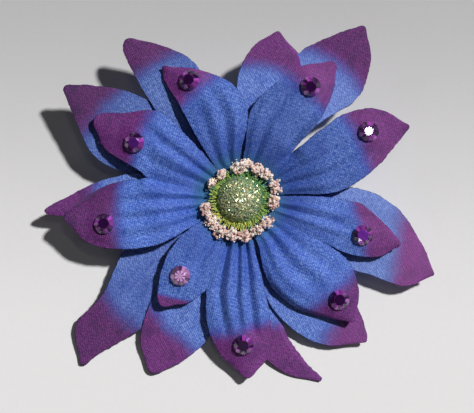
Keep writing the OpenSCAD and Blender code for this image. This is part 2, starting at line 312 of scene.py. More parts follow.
@dataclass(frozen=True)
class Taffeta:
    """Cross-dyed plain weave, sprayed with a second dye at the petals' tips; its lighter threads and sparkle
    are painted highlight.
    """

    name: str
    ground: tuple = (0.017, 0.079, 0.48)
    light: tuple = (0.23, 0.39, 0.9)
    shade_and_mottle: tuple = (0.01, 0.053, 0.38)
    dye: tuple = (0.075, 0.008, 0.115)
    dye_light: tuple = (0.34, 0.055, 0.38)
    dye_deep: tuple = (0.04, 0.006, 0.085)
    bleed: tuple = (0.05, 0.035, 0.33)
    heart: tuple = (0.015, 0.13, 0.25)
    # Whitish painted sheen, blended in where a petal's tone passes 1.
    faded: tuple = (0.45, 0.55, 0.86)
    painted_sheen_dye: tuple = (0.62, 0.19, 0.62)
    pitch: float = 0.4
    turn: float = 0.35

    def make(self) -> bpy.types.Material:
        """Builds the material; the pattern's coordinates are millimetres on the flat cloth.

        Returns:
            The finished material.
        """
        s = Shader(self.name)
        cloth = s.flat("cloth")
        turned = s.stretch(cloth, (1, 1, 1), self.turn)
        x, y, _ = s.parts(turned)
        fuzz = s.noise(cloth, 1.9, 2.0, 0.7)
        spark = s.noise(s.stretch(turned, (0.9, 1.9, 1)), 1.0, 2.0, 0.75)
        v = y / self.pitch + (fuzz - 0.5) * 0.7
        u = x / (self.pitch * 1.7) + s.maths("FLOOR", v) * 0.37 + (spark - 0.5) * 0.8
        over, under = (s.maths("ABSOLUTE", s.maths("SINE", way * math.pi)) for way in (u, v))
        float_yarn = over * under
        slub = s.noise(s.stretch(turned, (0.16, 2.6, 1)), 1.0, 2.0)
        slub_2 = s.noise(s.stretch(turned, (2.6, 0.16, 1)), 1.0, 2.0)
        cloud = s.noise(cloth, 0.09, 3.0)
        # The floats and slubs are the weave's own pattern; the light colours laid on them, and the sparkle
        # noise, are painted highlight where threads catch the light.
        lit = float_yarn * (fuzz * 1.2) + (spark - 0.5) * 2.1
        lit = lit + (slub - 0.5) * 0.7 + (slub_2 - 0.5) * 0.5 + 0.04
        blue = s.blend(self.ground, self.light, s.ramp(-0.1, 0.95, lit))
        # Random darker mottling of the cloth, in the shade colour.
        blue = s.blend(blue, self.shade_and_mottle, s.ramp(0.45, 0.8, cloud) * 0.6)
        # Painted shade: the cloth darkens towards the hub.
        blue = s.blend(blue, self.shade_and_mottle, s.attribute("depth") * 0.5)
        blue = s.blend(blue, self.heart, s.attribute("heart") * 0.75)
        dyed = s.attribute("dye") + (cloud - 0.5) * 0.5 + (fuzz - 0.5) * 0.5 + (slub - 0.5) * 0.4
        dyed = dyed + (slub_2 - 0.5) * 0.3
        purple = s.blend(self.dye, self.dye_light, s.ramp(-0.1, 1.0, lit) * 0.75)
        purple = s.blend(purple, self.dye_deep, s.ramp(0.5, 0.75, s.noise(cloth, 0.16, 2.0)) * 0.6)
        colour = s.blend(blue, self.bleed, s.ramp(0.08, 0.5, dyed) * 0.6)
        colour = s.blend(colour, purple, s.ramp(0.3, 0.9, dyed))
        # Each petal's tone darkens it, partly the dye's own depth and partly painted shade; a tone over 1
        # blends in the whitish painted sheen.
        colour = s.blend(colour, s.attribute("tone"), 1.0, "MULTIPLY")
        pale = s.blend(self.faded, self.painted_sheen_dye, s.ramp(0.3, 0.9, dyed))
        colour = s.blend(colour, pale, s.attribute("faded"))
        # Painted shade: a dark line along the open cut edge, where the edge lies in shadow.
        colour = s.blend(colour, (0.012, 0.012, 0.06), s.attribute("rim") * 0.75)
        height = float_yarn * 0.7 + slub * 0.5 + slub_2 * 0.5 + fuzz * 0.5 + spark * 0.6
        return s.finish(
            Base_Color=colour,
            Roughness=0.62 - slub * 0.14,
            Normal=s.bump(height, 0.13 * MM, 0.9),
            Specular_IOR_Level=0.35,
            Sheen_Weight=0.15,
            Sheen_Roughness=0.45,
            Sheen_Tint=(0.45, 0.6, 1.0),
        )


@dataclass(frozen=True)
class FoiledGlass:
    """Amethyst glass on a mirror foil: a dark flat table, and a ring of facets that flash differently in
    painted glints.

    centre is the stone's, and across and ahead are two directions square to its axis. The two numbers after
    them paint light: the first lightens the table with painted reflection, the second draws a pale star of
    painted reflection on it.
    """

    name: str
    centre: tuple[float, float, float]
    across: tuple[float, float, float]
    ahead: tuple[float, float, float]
    painted_table_light: float = 0.0
    painted_star: float = 0.0
    radius: float = 3.2

    def make(self) -> bpy.types.Material:
        """Builds the material; the facets are counted round the stone's own axis.

        Returns:
            The finished material.
        """
        s = Shader(self.name)
        rel = s.vector("SUBTRACT", s.place(), self.centre)
        a, b = (s.vector("DOT_PRODUCT", rel, way, "Value") for way in (self.across, self.ahead))
        far = s.maths("SQRT", a * a + b * b) / (self.radius * MM)
        turn = s.maths("ARCTAN2", b, a)
        rays = s.maths("ABSOLUTE", s.maths("SINE", turn * 4.0))
        ring = s.ramp(0.5, 0.56, far)
        sector = s.maths("FLOOR", turn * (16 / (2 * math.pi)) + 0.5)
        white = s.add("ShaderNodeTexWhiteNoise", {"noise_dimensions": "1D"}, {"W": sector + ring * 40.0})
        chance = s.out(white)
        cloud = s.noise(s.place(), 700.0, 2.0)
        deep = s.blend((0.008, 0.001, 0.02), (0.05, 0.004, 0.09), cloud)
        violet = s.blend((0.16, 0.02, 0.4), (0.32, 0.06, 0.6), cloud)
        painted_glint_pink = s.blend((0.95, 0.3, 0.85), (1.0, 0.85, 1.0), cloud)
        # Painted reflection: the table lightens towards violet.
        table = s.blend(deep, violet, self.painted_table_light)
        # Painted reflection: a pale star of the flash drawn on the table.
        table = s.blend(table, painted_glint_pink, s.ramp(0.2, 0.8, rays * (1.2 - far * 0.6)) * self.painted_star)
        # Painted glints: random facets of the ring are coloured bright, as if they flashed.
        painted_facet_glint = s.blend((0.6, 0.1, 0.72), painted_glint_pink, self.painted_star * 0.6)
        facets = s.blend(deep, painted_facet_glint, s.ramp(0.2 - self.painted_star * 0.3, 0.9, chance) * 0.8)
        colour = s.blend(table, facets, ring)
        return s.finish(
            Base_Color=colour,
            Metallic=0.3,
            Roughness=0.1 + cloud * 0.08,
            Specular_IOR_Level=0.7,
            Coat_Weight=1.0,
            Coat_Roughness=0.03,
            Coat_IOR=1.6,
        )


@dataclass(frozen=True)
class Speckled:
    """A grainy matt or shiny finish whose colour wanders between three colours."""

    name: str
    colours: tuple[tuple, tuple, tuple]
    scale: float
    roughness: float = 0.7
    bump: float = 0.05
    metallic: float = 0.0
    grain: bool = False
    specular: float = 0.4
    sheen: float = 0.0
    subsurface: float = 0.0

    def make(self) -> bpy.types.Material:
        """Builds the material; with grain, each small part of the piece has its own colour.

        Returns:
            The finished material.
        """
        s = Shader(self.name)
        where = s.place()
        coarse, fine = s.noise(where, self.scale, 3.0), s.noise(where, self.scale * 6, 3.0, 0.7)
        pick = s.attribute("grain") * 0.8 + coarse * 0.2 if self.grain else s.ramp(0.3, 0.7, coarse)
        low, mid, high = self.colours
        colour = s.blend(s.blend(low, mid, pick * 2), high, pick * 2 - 1)
        colour = s.blend(colour, tuple(c * 0.45 for c in low), s.ramp(0.5, 0.8, fine) * 0.5)
        return s.finish(
            Base_Color=colour,
            Roughness=self.roughness + (fine - 0.5) * 0.25,
            Metallic=self.metallic,
            Normal=s.bump(fine, self.bump * MM),
            Specular_IOR_Level=self.specular,
            Sheen_Weight=self.sheen,
            Subsurface_Weight=self.subsurface,
            Subsurface_Scale=0.5 * MM,
        )


@dataclass(frozen=True)
class Glitter:
    """Metal-coated flakes, each with its own colour."""

    name: str = "glitter_flakes"

    def make(self) -> bpy.types.Material:
        """Builds the material.

        Returns:
            The finished material.
        """
        s = Shader(self.name)
        stops = [
            (0.0, (0.16, 0.42, 0.32)),
            (0.3, (0.42, 0.48, 0.2)),
            (0.55, (0.74, 0.7, 0.36)),
            (0.8, (0.9, 0.88, 0.66)),
            (1.0, (0.97, 0.97, 0.92)),
        ]
        node = s.add("ShaderNodeValToRGB", {"stops": stops}, {0: s.attribute("grain")})
        return s.finish(Base_Color=s.out(node), Metallic=0.55, Roughness=0.34)


@dataclass(frozen=True)
class Plated:
    """Nickel-plated pressed steel, with fine scratches and dull patches."""

    name: str
    colour: tuple = (0.66, 0.65, 0.63)
    along: tuple = (300.0, 4000.0, 4000.0)
    roughness: float = 0.22

    def make(self) -> bpy.types.Material:
        """Builds the material.

        Returns:
            The finished material.
        """
        s = Shader(self.name)
        where = s.place()
        scratch = s.noise(s.stretch(where, self.along), 1.0, 3.0, 0.7)
        patch = s.noise(where, 180.0, 4.0)
        colour = s.blend(self.colour, tuple(c * 0.62 for c in self.colour), s.ramp(0.5, 0.75, patch))
        return s.finish(
            Base_Color=colour,
            Metallic=1.0,
            Roughness=self.roughness + scratch * 0.16 + patch * 0.1,
            Normal=s.bump(scratch, 0.006 * MM),
        )


@dataclass(frozen=True)
class Table:
    """A pale smooth table top, with painted shade that darkens it towards +Y."""

    name: str = "pale_table"

    def make(self) -> bpy.types.Material:
        """Builds the material.

        Returns:
            The finished material.
        """
        s = Shader(self.name)
        where = s.place()
        grain = s.noise(where, 700.0, 3.0)
        _, y, _ = s.parts(where)
        pale = s.blend((0.77, 0.77, 0.78), (0.8, 0.8, 0.81), grain)
        deep = s.blend((0.44, 0.44, 0.445), (0.46, 0.46, 0.47), grain)
        return s.finish(
            # Painted shade: the top's colour darkens towards +Y, a falloff of light painted on.
            Base_Color=s.blend(pale, deep, s.ramp(-0.05, 0.09, y)),
            Roughness=0.6,
            Specular_IOR_Level=0.25,
            Normal=s.bump(grain, 0.02 * MM),
        )


# Meshes -------------------------------------------------------------------------------------------


def new_piece(name: str, points: np.ndarray, faces: list | np.ndarray,
              material: bpy.types.Material) -> bpy.types.Object:
    """Makes an object from points and faces, shaded smooth.

    Args:
        name: The object's name.
        points: Places as rows, in metres.
        faces: Rows of point numbers.
        material: Its finish.

    Returns:
        The object, in the scene.
    """
    mesh = bpy.data.meshes.new(name)
    corners = [tuple(int(i) for i in face) for face in faces]
    mesh.from_pydata([tuple(p) for p in np.asarray(points, float)], [], corners)
    mesh.materials.append(material)
    mesh.polygons.foreach_set("use_smooth", [True] * len(mesh.polygons))
    mesh.update()
    piece = bpy.data.objects.new(name, mesh)
    bpy.context.scene.collection.objects.link(piece)
    return piece


def only(piece: bpy.types.Object) -> None:
    """Makes piece the only selected and the active object.

    Args:
        piece: The object.
    """
    for other in bpy.context.view_layer.objects:
        other.select_set(False)
    piece.select_set(True)
    bpy.context.view_layer.objects.active = piece


def start_edit() -> None:
    """Opens the active mesh, with all of it selected."""
    bpy.ops.object.mode_set(mode="EDIT")
    bpy.ops.mesh.select_all(action="SELECT")


def end_edit() -> None:
    """Turns all faces of the active mesh outwards and closes it."""
    bpy.ops.mesh.select_all(action="SELECT")
    bpy.ops.mesh.normals_make_consistent(inside=False)
    bpy.ops.object.mode_set(mode="OBJECT")


def modify(piece: bpy.types.Object, kind: str, **settings: object) -> None:
    """Adds a modifier to the active piece and applies it.

    Args:
        piece: The piece.
        kind: The modifier's type.
        settings: The modifier's own settings.
    """
    change = piece.modifiers.new(kind.lower(), kind)
    for key, value in settings.items():
        setattr(change, key, value)
    bpy.ops.object.modifier_apply(modifier=change.name)


def roughen(piece: bpy.types.Object, size: float, depth: float) -> None:
    """Gives the active piece uneven lumps.

    Args:
        piece: The piece.
        size: How wide one lump is, in millimetres.
        depth: How high one lump is, in millimetres.
    """
    clouds = bpy.data.textures.new(f"{piece.name}_lumps", "CLOUDS")
    clouds.noise_scale, clouds.noise_depth = size * MM, 2
    modify(piece, "DISPLACE", texture=clouds, strength=depth * MM, mid_level=0.6)


def carry(mesh: bpy.types.Mesh, name: str, values: np.ndarray) -> None:
    """Gives each point of a mesh a number that a shader can read."""
    layer = mesh.attributes.new(name, "FLOAT", "POINT")
    layer.data.foreach_set("value", np.asarray(values, np.float32))


def settle(piece: bpy.types.Object, matrix: Matrix | None = None) -> None:
    """Moves an object's place into its mesh, after applying matrix to it.

    Args:
        piece: The object.
        matrix: Moves the mesh as well, once it has its place.
    """
    bpy.context.view_layer.update()
    piece.data.transform((matrix or Matrix.Identity(4)) @ piece.matrix_world)
    piece.matrix_world = Matrix.Identity(4)


def repeated(name: str, pattern: bpy.types.Object, places: list[Matrix], material: bpy.types.Material,
             grains: np.ndarray) -> bpy.types.Object:
    """Copies a modelled pattern to many places as one piece, and removes the pattern.

    Args:
        name: The new piece's name.
        pattern: The object that is copied.
        places: One matrix for each copy.
        material: The new piece's finish.
        grains: One number from 0 to 1 for each copy, which its finish reads.

    Returns:
        The new piece.
    """
    mesh = pattern.data
    points = np.array([v.co for v in mesh.vertices], float)
    faces = [tuple(p.vertices) for p in mesh.polygons]
    rows = [points @ np.array(m)[:3, :3].T + np.array(m)[:3, 3] for m in places]
    shifted = [tuple(i + k * len(points) for i in f) for k in range(len(places)) for f in faces]
    piece = new_piece(name, np.concatenate(rows), shifted, material)
    smooth_flags = [p.use_smooth for p in mesh.polygons] * len(places)
    piece.data.polygons.foreach_set("use_smooth", smooth_flags)
    carry(piece.data, "grain", np.repeat(grains, len(points)))
    bpy.data.objects.remove(pattern)
    return piece


def softened_copy(node: str, name: str, bevel: float, material: bpy.types.Material) -> bpy.types.Object:
    """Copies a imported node, merges its triangles and rounds its edges.

    Args:
        node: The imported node.
        name: The copy's name.
        bevel: Width of the rounding, in millimetres; 0 leaves the edges.
        material: The copy's finish.

    Returns:
        The copy, in its place.
    """
    source = frame["nodes"][node]
    piece = bpy.data.objects.new(name, source.data.copy())
    bpy.context.scene.collection.objects.link(piece)
    piece.data.materials.clear()
    piece.data.materials.append(material)
    only(piece)
    start_edit()
    bpy.ops.mesh.remove_doubles(threshold=0.002 * MM)
    bpy.ops.mesh.dissolve_limited(angle_limit=math.radians(2))
    end_edit()
    sharp = math.radians(35)
    if bevel:
        modify(piece, "BEVEL", width=bevel * MM, segments=2, angle_limit=sharp)
    bpy.ops.object.shade_smooth_by_angle(angle=sharp)
    return piece


# Petal sheets -------------------------------------------------------------------------------------


@dataclass(frozen=True)
class Crease:
    """A soft fold pressed along a petal.

    root and tip are places across the petal, from -1 at its right edge to 1 at its left, seen from the hub.
    A positive depth is a ridge. start and end are shares of the petal's length.
    """

    root: float
    tip: float
    depth: float
    width: float = 0.16
    start: float = 0.2
    end: float = 0.84


@dataclass(frozen=True)
class Spray:
    """Where the second dye lies: it starts at a share of the length, and leans across the petal.

    A tone under 1 darkens the dye, partly as the dye's own depth and partly as painted shade; one over 1
    paints a whitish sheen on it.
    """

    start: float = 0.78
    lean: float = 0.0
    soft: float = 0.1
    tone: float = 1.0


@dataclass(frozen=True)
class Petal:
    """One petal, in millimetres and degrees, seen from the hub: half widths are at the sheet's stations."""

    heading: float
    length: float
    right: tuple[float, float, float, float]
    left: tuple[float, float, float, float]
    tip: tuple[float, float]
    rise: tuple[float, float]
    lift: float = 0.0
    twist: float = 0.0
    spray: Spray = Spray()
    roll_right: tuple[float, float, float] = (0.0, 0.3, 0.4)
    roll_left: tuple[float, float, float] = (0.0, 0.3, 0.4)
    creases: tuple[Crease, ...] = ()
    # Brightness of the whole petal, partly the dye's own depth and partly painted light and shade; over 1 it
    # paints a whitish sheen.
    tone: float = 1.0


class Layer(Enum):
    """Which sheet of the flower, from the top."""

    UPPER = "upper"
    MIDDLE = "middle"
    LOWER = "lower"


@dataclass
class PetalSheet:
    """One cloth with its petals, which stay joined inside the collar and where a slit ends early.

    The cloth is waved, and its cut edge frayed, by bumps of two sizes. Lengths are millimetres, except in
    cut and area, which give the flat cloth in metres. seats holds the plane under each stone, and edges
    collects the places along the open cut edges.
    """

    layer: Layer
    petals: tuple[Petal, ...]
    slits: tuple[float, ...]
    joined: tuple[float, ...]
    hub_z: float
    finish: Taffeta
    cut: tuple[float, float]
    area: float
    seed: float
    thickness: float = 0.22
    hole: float = 2.1
    collar: float = 11.0
    common: float = 33.0
    inner_rows: int = 40
    outer_rows: int = 52
    columns: int = 38
    stations: tuple[float, ...] = (0.28, 0.5, 0.72, 0.9)
    waves: tuple[float, float] = (0.12, 0.03)
    wave_sizes: tuple[float, float] = (7.0, 2.6)
    fray: tuple[float, float] = (0.24, 0.3)
    fray_sizes: tuple[float, float] = (0.9, 3.1)
    round_tip: tuple[float, int] = (0.8, 14)
    stone_pad: float = 4.6
    heart: tuple[float, float] = (11.5, 17.0)
    shaded: tuple[float, float] = (14.0, 34.0)
    seats: dict = field(default_factory=dict)
    edges: list = field(default_factory=list)

    def edge(self, petal: Petal, side: int, slit: float) -> np.ndarray:
        """The run of one edge from the collar to the tip, as rows of distance from the hub and heading.

        Args:
            petal: The petal.
            side: -1 for the right edge, 1 for the left.
            slit: The heading of the slit on that side.

        Returns:
            Closely spaced rows of millimetres and degrees.
        """
        a = math.radians(petal.heading)
        ahead, across = np.array([math.cos(a), math.sin(a)]), np.array([-math.sin(a), math.cos(a)])
        widths = petal.right if side < 0 else petal.left
        b = math.radians(slit)
        marks = [self.collar * np.array([math.cos(b), math.sin(b)])]
        marks += [s * petal.length * ahead + w * across for s, w in zip(self.stations, widths)]
        marks.append(petal.length * ahead + (petal.tip[0] + side * petal.tip[1]) * across)
        run = []
        for k in range(len(marks) - 1):
            p1, p2 = marks[k], marks[k + 1]
            p0 = marks[k - 1] if k else 2 * p1 - p2
            p3 = marks[k + 2] if k + 2 < len(marks) else 2 * p2 - p1
            for t in np.linspace(0, 1, 30, endpoint=k == len(marks) - 2):
                run.append(0.5 * (2 * p1 + (p2 - p0) * t + (2 * p0 - 5 * p1 + 4 * p2 - p3) * t * t
                                  + (3 * p1 - p0 - 3 * p2 + p3) * t ** 3))
        run = np.array(run)
        heading = np.degrees(np.arctan2(run[:, 1], run[:, 0]))
        heading += 360 * np.round((petal.heading - heading) / 360)
        return np.stack([np.hypot(run[:, 0], run[:, 1]), heading], axis=1)

    def side_run(self, petal: Petal, side: int, slit: float, joined: float) -> np.ndarray:
        """One edge at the sheet's rows: on common circles first, then evenly along its own run to the tip.

        Args:
            petal: The petal.
            side: -1 for the right edge, 1 for the left.
            slit: The heading of the slit on that side.
            joined: How far out the cloth stays joined there.

        Returns:
            One row of millimetres and degrees for each row of the petal.
        """
        own = self.edge(petal, side, slit)
        circles = np.linspace(self.hole, self.common, self.inner_rows + 1)
        first = int(np.argmax(own[:, 0] >= self.common))
        free = np.interp(circles, own[: first + 1, 0], own[: first + 1, 1])
        part = (joined, joined + 3) if joined > self.collar else (self.collar, self.collar + 0.1)
        hold = smooth(*part, circles)
        inner = np.stack([circles, mix(slit, free, hold)], axis=1)
        start = np.array([self.common, np.interp(self.common, own[: first + 1, 0], own[: first + 1, 1])])
        rest = np.vstack([start, own[first:]])
        steps = np.hypot(np.diff(rest[:, 0]), np.radians(np.diff(rest[:, 1])) * rest[1:, 0])
        far = np.concatenate([[0], np.cumsum(steps)])
        wanted = np.linspace(0, far[-1], self.outer_rows + 1)[1:]
        outer = np.stack([np.interp(wanted, far, rest[:, 0]), np.interp(wanted, far, rest[:, 1])], axis=1)
        inner[-1] = start if joined < self.common else inner[-1]
        return np.vstack([inner, outer])

    def across(self) -> np.ndarray:
        """Places across a petal, from -1 to 1, closer together near the edges."""
        k = np.arange(self.columns + 1) / self.columns
        return -0.55 * np.cos(math.pi * k) + 0.45 * (2 * k - 1)

    def height(self, petal: Petal, r: np.ndarray, t: np.ndarray) -> np.ndarray:
        """Height of a petal's cloth in the flower's frame, in millimetres.

        Args:
            petal: The petal.
            r: Distances from the hub.
            t: Places across, from -1 to 1.

        Returns:
            The heights, in the shape of r.
        """
        x = r / petal.length
        free = smooth(0.17, 0.5, x) if self.layer is Layer.UPPER else smooth(0.22, 0.6, x)
        z = mix(self.hub_z, petal.rise[0], free) + (petal.rise[1] - petal.rise[0]) * smooth(0.6, 1, x)
        z = z + free * (petal.lift * t * t + petal.twist * t)
        for c in petal.creases:
            centre = mix(c.root, c.tip, smooth(0.15, 1, x))
            fade = smooth(c.start - 0.06, c.start + 0.12, x) * (1 - smooth(c.end - 0.25, c.end, x))
            z = z + 0.8 * c.depth * fade * np.exp(-(((t - centre) / c.width) ** 2))
        for (depth, width, start), side in ((petal.roll_right, -1), (petal.roll_left, 1)):
            z = z - depth * smooth(1 - width, 1.02, side * t) * smooth(start, start + 0.25, x)
        return z

    @property
    def rows(self) -> int:
        """How many rows of quads a petal has from the hole to its tip."""
        return self.inner_rows + self.outer_rows

    def lay_out(self) -> tuple[list, list]:
        """Lays every petal out in plan and lifts it, before neighbours are joined.

        Returns:
            For each petal its distances from the hub, headings and places across; and its heights.
        """
        across = self.across()
        share, row = ((across + 1) / 2)[None, :], np.arange(self.rows + 1)[:, None]
        bulge, tip_rows = self.round_tip
        blocks, heights = [], []
        for i, petal in enumerate(self.petals):
            before = self.slits[i - 1] - (360 if i == 0 else 0)
            right = self.side_run(petal, -1, before, self.joined[i - 1])
            left = self.side_run(petal, 1, self.slits[i], self.joined[i])
            r = mix(right[:, :1], left[:, :1], share)
            near_tip = smooth(self.rows - tip_rows, self.rows, row)
            r = r + petal.tip[1] * bulge * (1 - across[None, :] ** 2) * near_tip
            heading = mix(right[:, 1:], left[:, 1:], share)
            t = np.repeat(across[None, :], self.rows + 1, axis=0)
            blocks.append((r, heading, t))
            heights.append(self.height(petal, r, t))
        return blocks, heights

    def bumps(self, flat: np.ndarray, sizes: tuple, depths: tuple, seeds: tuple) -> np.ndarray:
        """Adds up soft bumps of several sizes over the flat pattern."""
        return sum(ripple(flat, size, seed) * depth for size, depth, seed in zip(sizes, depths, seeds))

    def cloth(self, index: int, block: tuple, z: np.ndarray) -> tuple[np.ndarray, np.ndarray, dict]:
        """Gives one petal its waves, its stone's seat and its frayed edge, and notes its open edges.

        Args:
            index: The petal's number.
            block: Its distances from the hub, headings in degrees and places across.
            z: Its heights.

        Returns:
            Its points and its flat pattern, in millimetres, and the numbers that its finish reads.
        """
        r, heading, t = block
        a = np.radians(heading)
        x, y = r * np.cos(a), r * np.sin(a)
        flat = np.stack([x.ravel(), y.ravel()], axis=1)
        seed = self.seed
        soft = self.bumps(flat, self.wave_sizes, self.waves, (seed, seed + 9)).reshape(r.shape)
        seeds = (seed + 30 + index, seed + 50 + index)
        fray = self.bumps(flat, self.fray_sizes, self.fray, seeds).reshape(r.shape)
        z = self.seat(index, x, y, z + soft * smooth(self.collar + 2, self.collar + 9, r))
        edge = self.cut_edge(index, r, t)
        out = fray * edge
        x = x - np.sign(t) * np.sin(a) * out
        y = y + np.sign(t) * np.cos(a) * out
        points = np.stack([x.ravel(), y.ravel(), z.ravel()], axis=1)
        numbers = self.numbers(self.petals[index], r, t, edge)
        cut = (edge * (np.abs(t) > OUTERMOST) > 0.9).ravel()
        outward = np.degrees(a).ravel() + 90 * np.sign(t).ravel()
        self.edges += list(zip(points[cut], outward[cut], numbers["dye"][cut]))
        return points, flat, numbers

    def build(self) -> bpy.types.Object:
        """Builds the sheet, with its flat pattern and the numbers that its finish reads.

        Returns:
            The sheet, with its thickness.
        """
        blocks, heights = self.lay_out()
        self.join_heights(blocks, heights)
        parts = [self.cloth(i, block, z) for i, (block, z) in enumerate(zip(blocks, heights))]
        used, compact = np.unique(np.array(self.faces()), return_inverse=True)
        points, flat = (np.concatenate([part[k] for part in parts])[used] for k in (0, 1))
        faces = compact.reshape(-1, 4)
        piece = new_piece(f"petals_{self.layer.value}", FLOWER.place(points), faces, self.finish.make())
        mesh = piece.data
        layer = mesh.uv_layers.new(name="cloth")
        corners = np.zeros(len(mesh.loops), np.int32)
        mesh.loops.foreach_get("vertex_index", corners)
        layer.data.foreach_set("uv", flat[corners].astype(np.float32).ravel())
        for name in parts[0][2]:
            carry(mesh, name, np.concatenate([numbers[name] for _, _, numbers in parts])[used])
        only(piece)
        modify(piece, "SOLIDIFY", thickness=self.thickness * MM, offset=0.0, use_even_offset=False)
        return piece

    def join_heights(self, blocks: list, heights: list) -> None:
        """Makes neighbouring petals meet at one height wherever no slit parts them.

        Args:
            blocks: Each petal's distances from the hub, headings and places across.
            heights: Each petal's heights, which are changed.
        """
        for i, joined in enumerate(self.joined):
            n = (i + 1) % len(self.petals)
            reach = max(joined, self.collar + 0.5)
            held = 1 - smooth(reach, reach + 4, blocks[i][0][:, -1])
            mean = (heights[i][:, -1] + heights[n][:, 0]) / 2
            for k, column, sign in ((i, -1, 1), (n, 0, -1)):
                near = np.clip((sign * blocks[k][2] + 0.1) / 1.1, 0, 1) ** 2
                shift = (mean - heights[k][:, column]) * held
                heights[k] += shift[:, None] * near

    def seat(self, index: int, x: np.ndarray, y: np.ndarray, z: np.ndarray) -> np.ndarray:
        """Lays the cloth flat under the stone that a petal carries.

        Args:
            index: The petal's number.
            x: Places in plan.
            y: Places in plan.
            z: Heights.

        Returns:
            The new heights.
        """
        if index not in self.seats:
            return z
        centre, normal = self.seats[index]
        plane = centre[2] - ((x - centre[0]) * normal[0] + (y - centre[1]) * normal[1]) / normal[2]
        far = np.hypot(x - centre[0], y - centre[1])
        return mix(z, plane, np.exp(-((far / self.stone_pad) ** 4)))

    def numbers(self, petal: Petal, r: np.ndarray, t: np.ndarray, edge: np.ndarray) -> dict:
        """Works out what the finish reads at each point: dyes, the teal heart, painted shade towards the
        hub, the tone with its whitish painted sheen, and painted shade along the cut edge.

        Args:
            petal: The petal.
            r: Distances from the hub.
            t: Places across.
            edge: 1 on the open cut edge and 0 elsewhere.

        Returns:
            One row of numbers for each name.
        """
        spray = petal.spray
        dye = smooth(spray.start - spray.soft, spray.start + spray.soft, r / petal.length + spray.lean * t)
        tone = mix(petal.tone, spray.tone, dye)
        # Painted shade darkens the cloth towards the hub and along its open cut edge; a tone over 1 paints a
        # whitish sheen.
        values = {"dye": dye, "heart": 1 - smooth(*self.heart, r), "depth": 1 - smooth(*self.shaded, r),
                  "rim": edge, "tone": np.minimum(tone, 1), "faded": np.maximum(tone - 1, 0) * 0.25}
        return {name: value.ravel() for name, value in values.items()}

    def cut_edge(self, index: int, r: np.ndarray, t: np.ndarray) -> np.ndarray:
        """Finds a petal's open cut edge, which a joined stretch doesn't have.

        Args:
            index: The petal's number.
            r: Distances from the hub.
            t: Places across.

        Returns:
            1 on the open edge and 0 elsewhere.
        """
        right, left = (max(self.joined[k], self.collar) for k in (index - 1, index))
        tip = np.arange(self.rows + 1)[:, None] == self.rows
        sides = (t < -OUTERMOST) * smooth(right, right + 3, r) + (t > OUTERMOST) * smooth(left, left + 3, r)
        return np.where(tip, 1.0, sides)

    def faces(self) -> list:
        """Lists the quads; inside a joined stretch a petal's last column is its neighbour's first.

        Returns:
            Four point numbers for each quad.
        """
        count, side = len(self.petals), self.columns + 1
        circles = np.linspace(self.hole, self.common, self.inner_rows + 1)

        def at(i: int, row: int, c: int) -> int:
            """Number of a petal's point, or of its neighbour's where the two are joined.

            Args:
                i: The petal.
                row: The row.
                c: The column.

            Returns:
                The point's number.
            """
            held = row <= self.inner_rows and circles[row] <= max(self.joined[i], self.collar) + 1e-6
            if c == side - 1 and held:
                i, c = (i + 1) % count, 0
            return (i * (self.rows + 1) + row) * side + c

        return [(at(i, row, c), at(i, row + 1, c), at(i, row + 1, c + 1), at(i, row, c + 1))
                for i in range(count) for row in range(self.rows) for c in range(side - 1)]

    def dress(self, body: str, node: str) -> bpy.types.Object:
        """Args:
            body: The body that it rides on.
            node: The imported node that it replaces.

        Returns:
            The sheet.
        """
        piece = self.build()
        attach(piece, body)
        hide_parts(node)
        return piece


@dataclass
class LooseThreads:
    """Short stray threads that fray out of the sheets' cut edges."""

    count: int = 240
    thick: float = 0.05

    def strand(self) -> bpy.types.Object:
        """Models one thread, 1 mm long, as a thin ring drawn out along +X with a bend.

        Returns:
            The thread.
        """
        bpy.ops.object.select_all(action="DESELECT")
        bpy.ops.mesh.primitive_circle_add(vertices=4, radius=self.thick, fill_type="NGON",
                                          rotation=(0, math.pi / 2, 0))
        piece = bpy.context.object
        start_edit()
        for side, up in ((0.02, 0.0), (0.06, 0.03), (0.1, 0.02), (0.05, -0.06)):
            bpy.ops.mesh.extrude_region_move(TRANSFORM_OT_translate={"value": (0.25, side, up)})
            bpy.ops.transform.resize(value=(0.85, 0.85, 0.85))
        end_edit()
        settle(piece)
        return piece

    def dress(self, edges: list) -> None:
        """Sets threads along the cut edges.

        Args:
            edges: Places in the flower's millimetres, the way out in degrees, and the dye there.
        """
        rng = np.random.default_rng(5)
        places, dyes = [], []
        for k in rng.choice(len(edges), self.count, replace=False):
            at, out, dye = edges[k]
            turn = math.radians(out + rng.normal(0, 48))
            length = rng.uniform(0.25, 0.75) + (rng.random() < 0.12) * rng.uniform(0.3, 1.0)
            flip = 0 if rng.random() < 0.5 else math.pi
            root = FLOWER.matrix() @ Matrix.Translation(Vector(at)) @ Matrix.Rotation(turn, 4, "Z")
            shape = Matrix.Diagonal((length, length, 1, 1)) @ Matrix.Rotation(flip, 4, "X")
            places.append(root @ Matrix.Rotation(rng.normal(0, 0.3), 4, "Y") @ shape)
            dyes.append(dye)
        colours = ((0.07, 0.16, 0.6), (0.1, 0.1, 0.45), (0.17, 0.03, 0.22))
        finish = Speckled("stray_thread", colours, 600, 0.7, grain=True).make()
        piece = repeated("stray_threads", self.strand(), places, finish, np.array(dyes))
        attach(piece, "flower")
        log.info("%d stray threads in place", self.count)


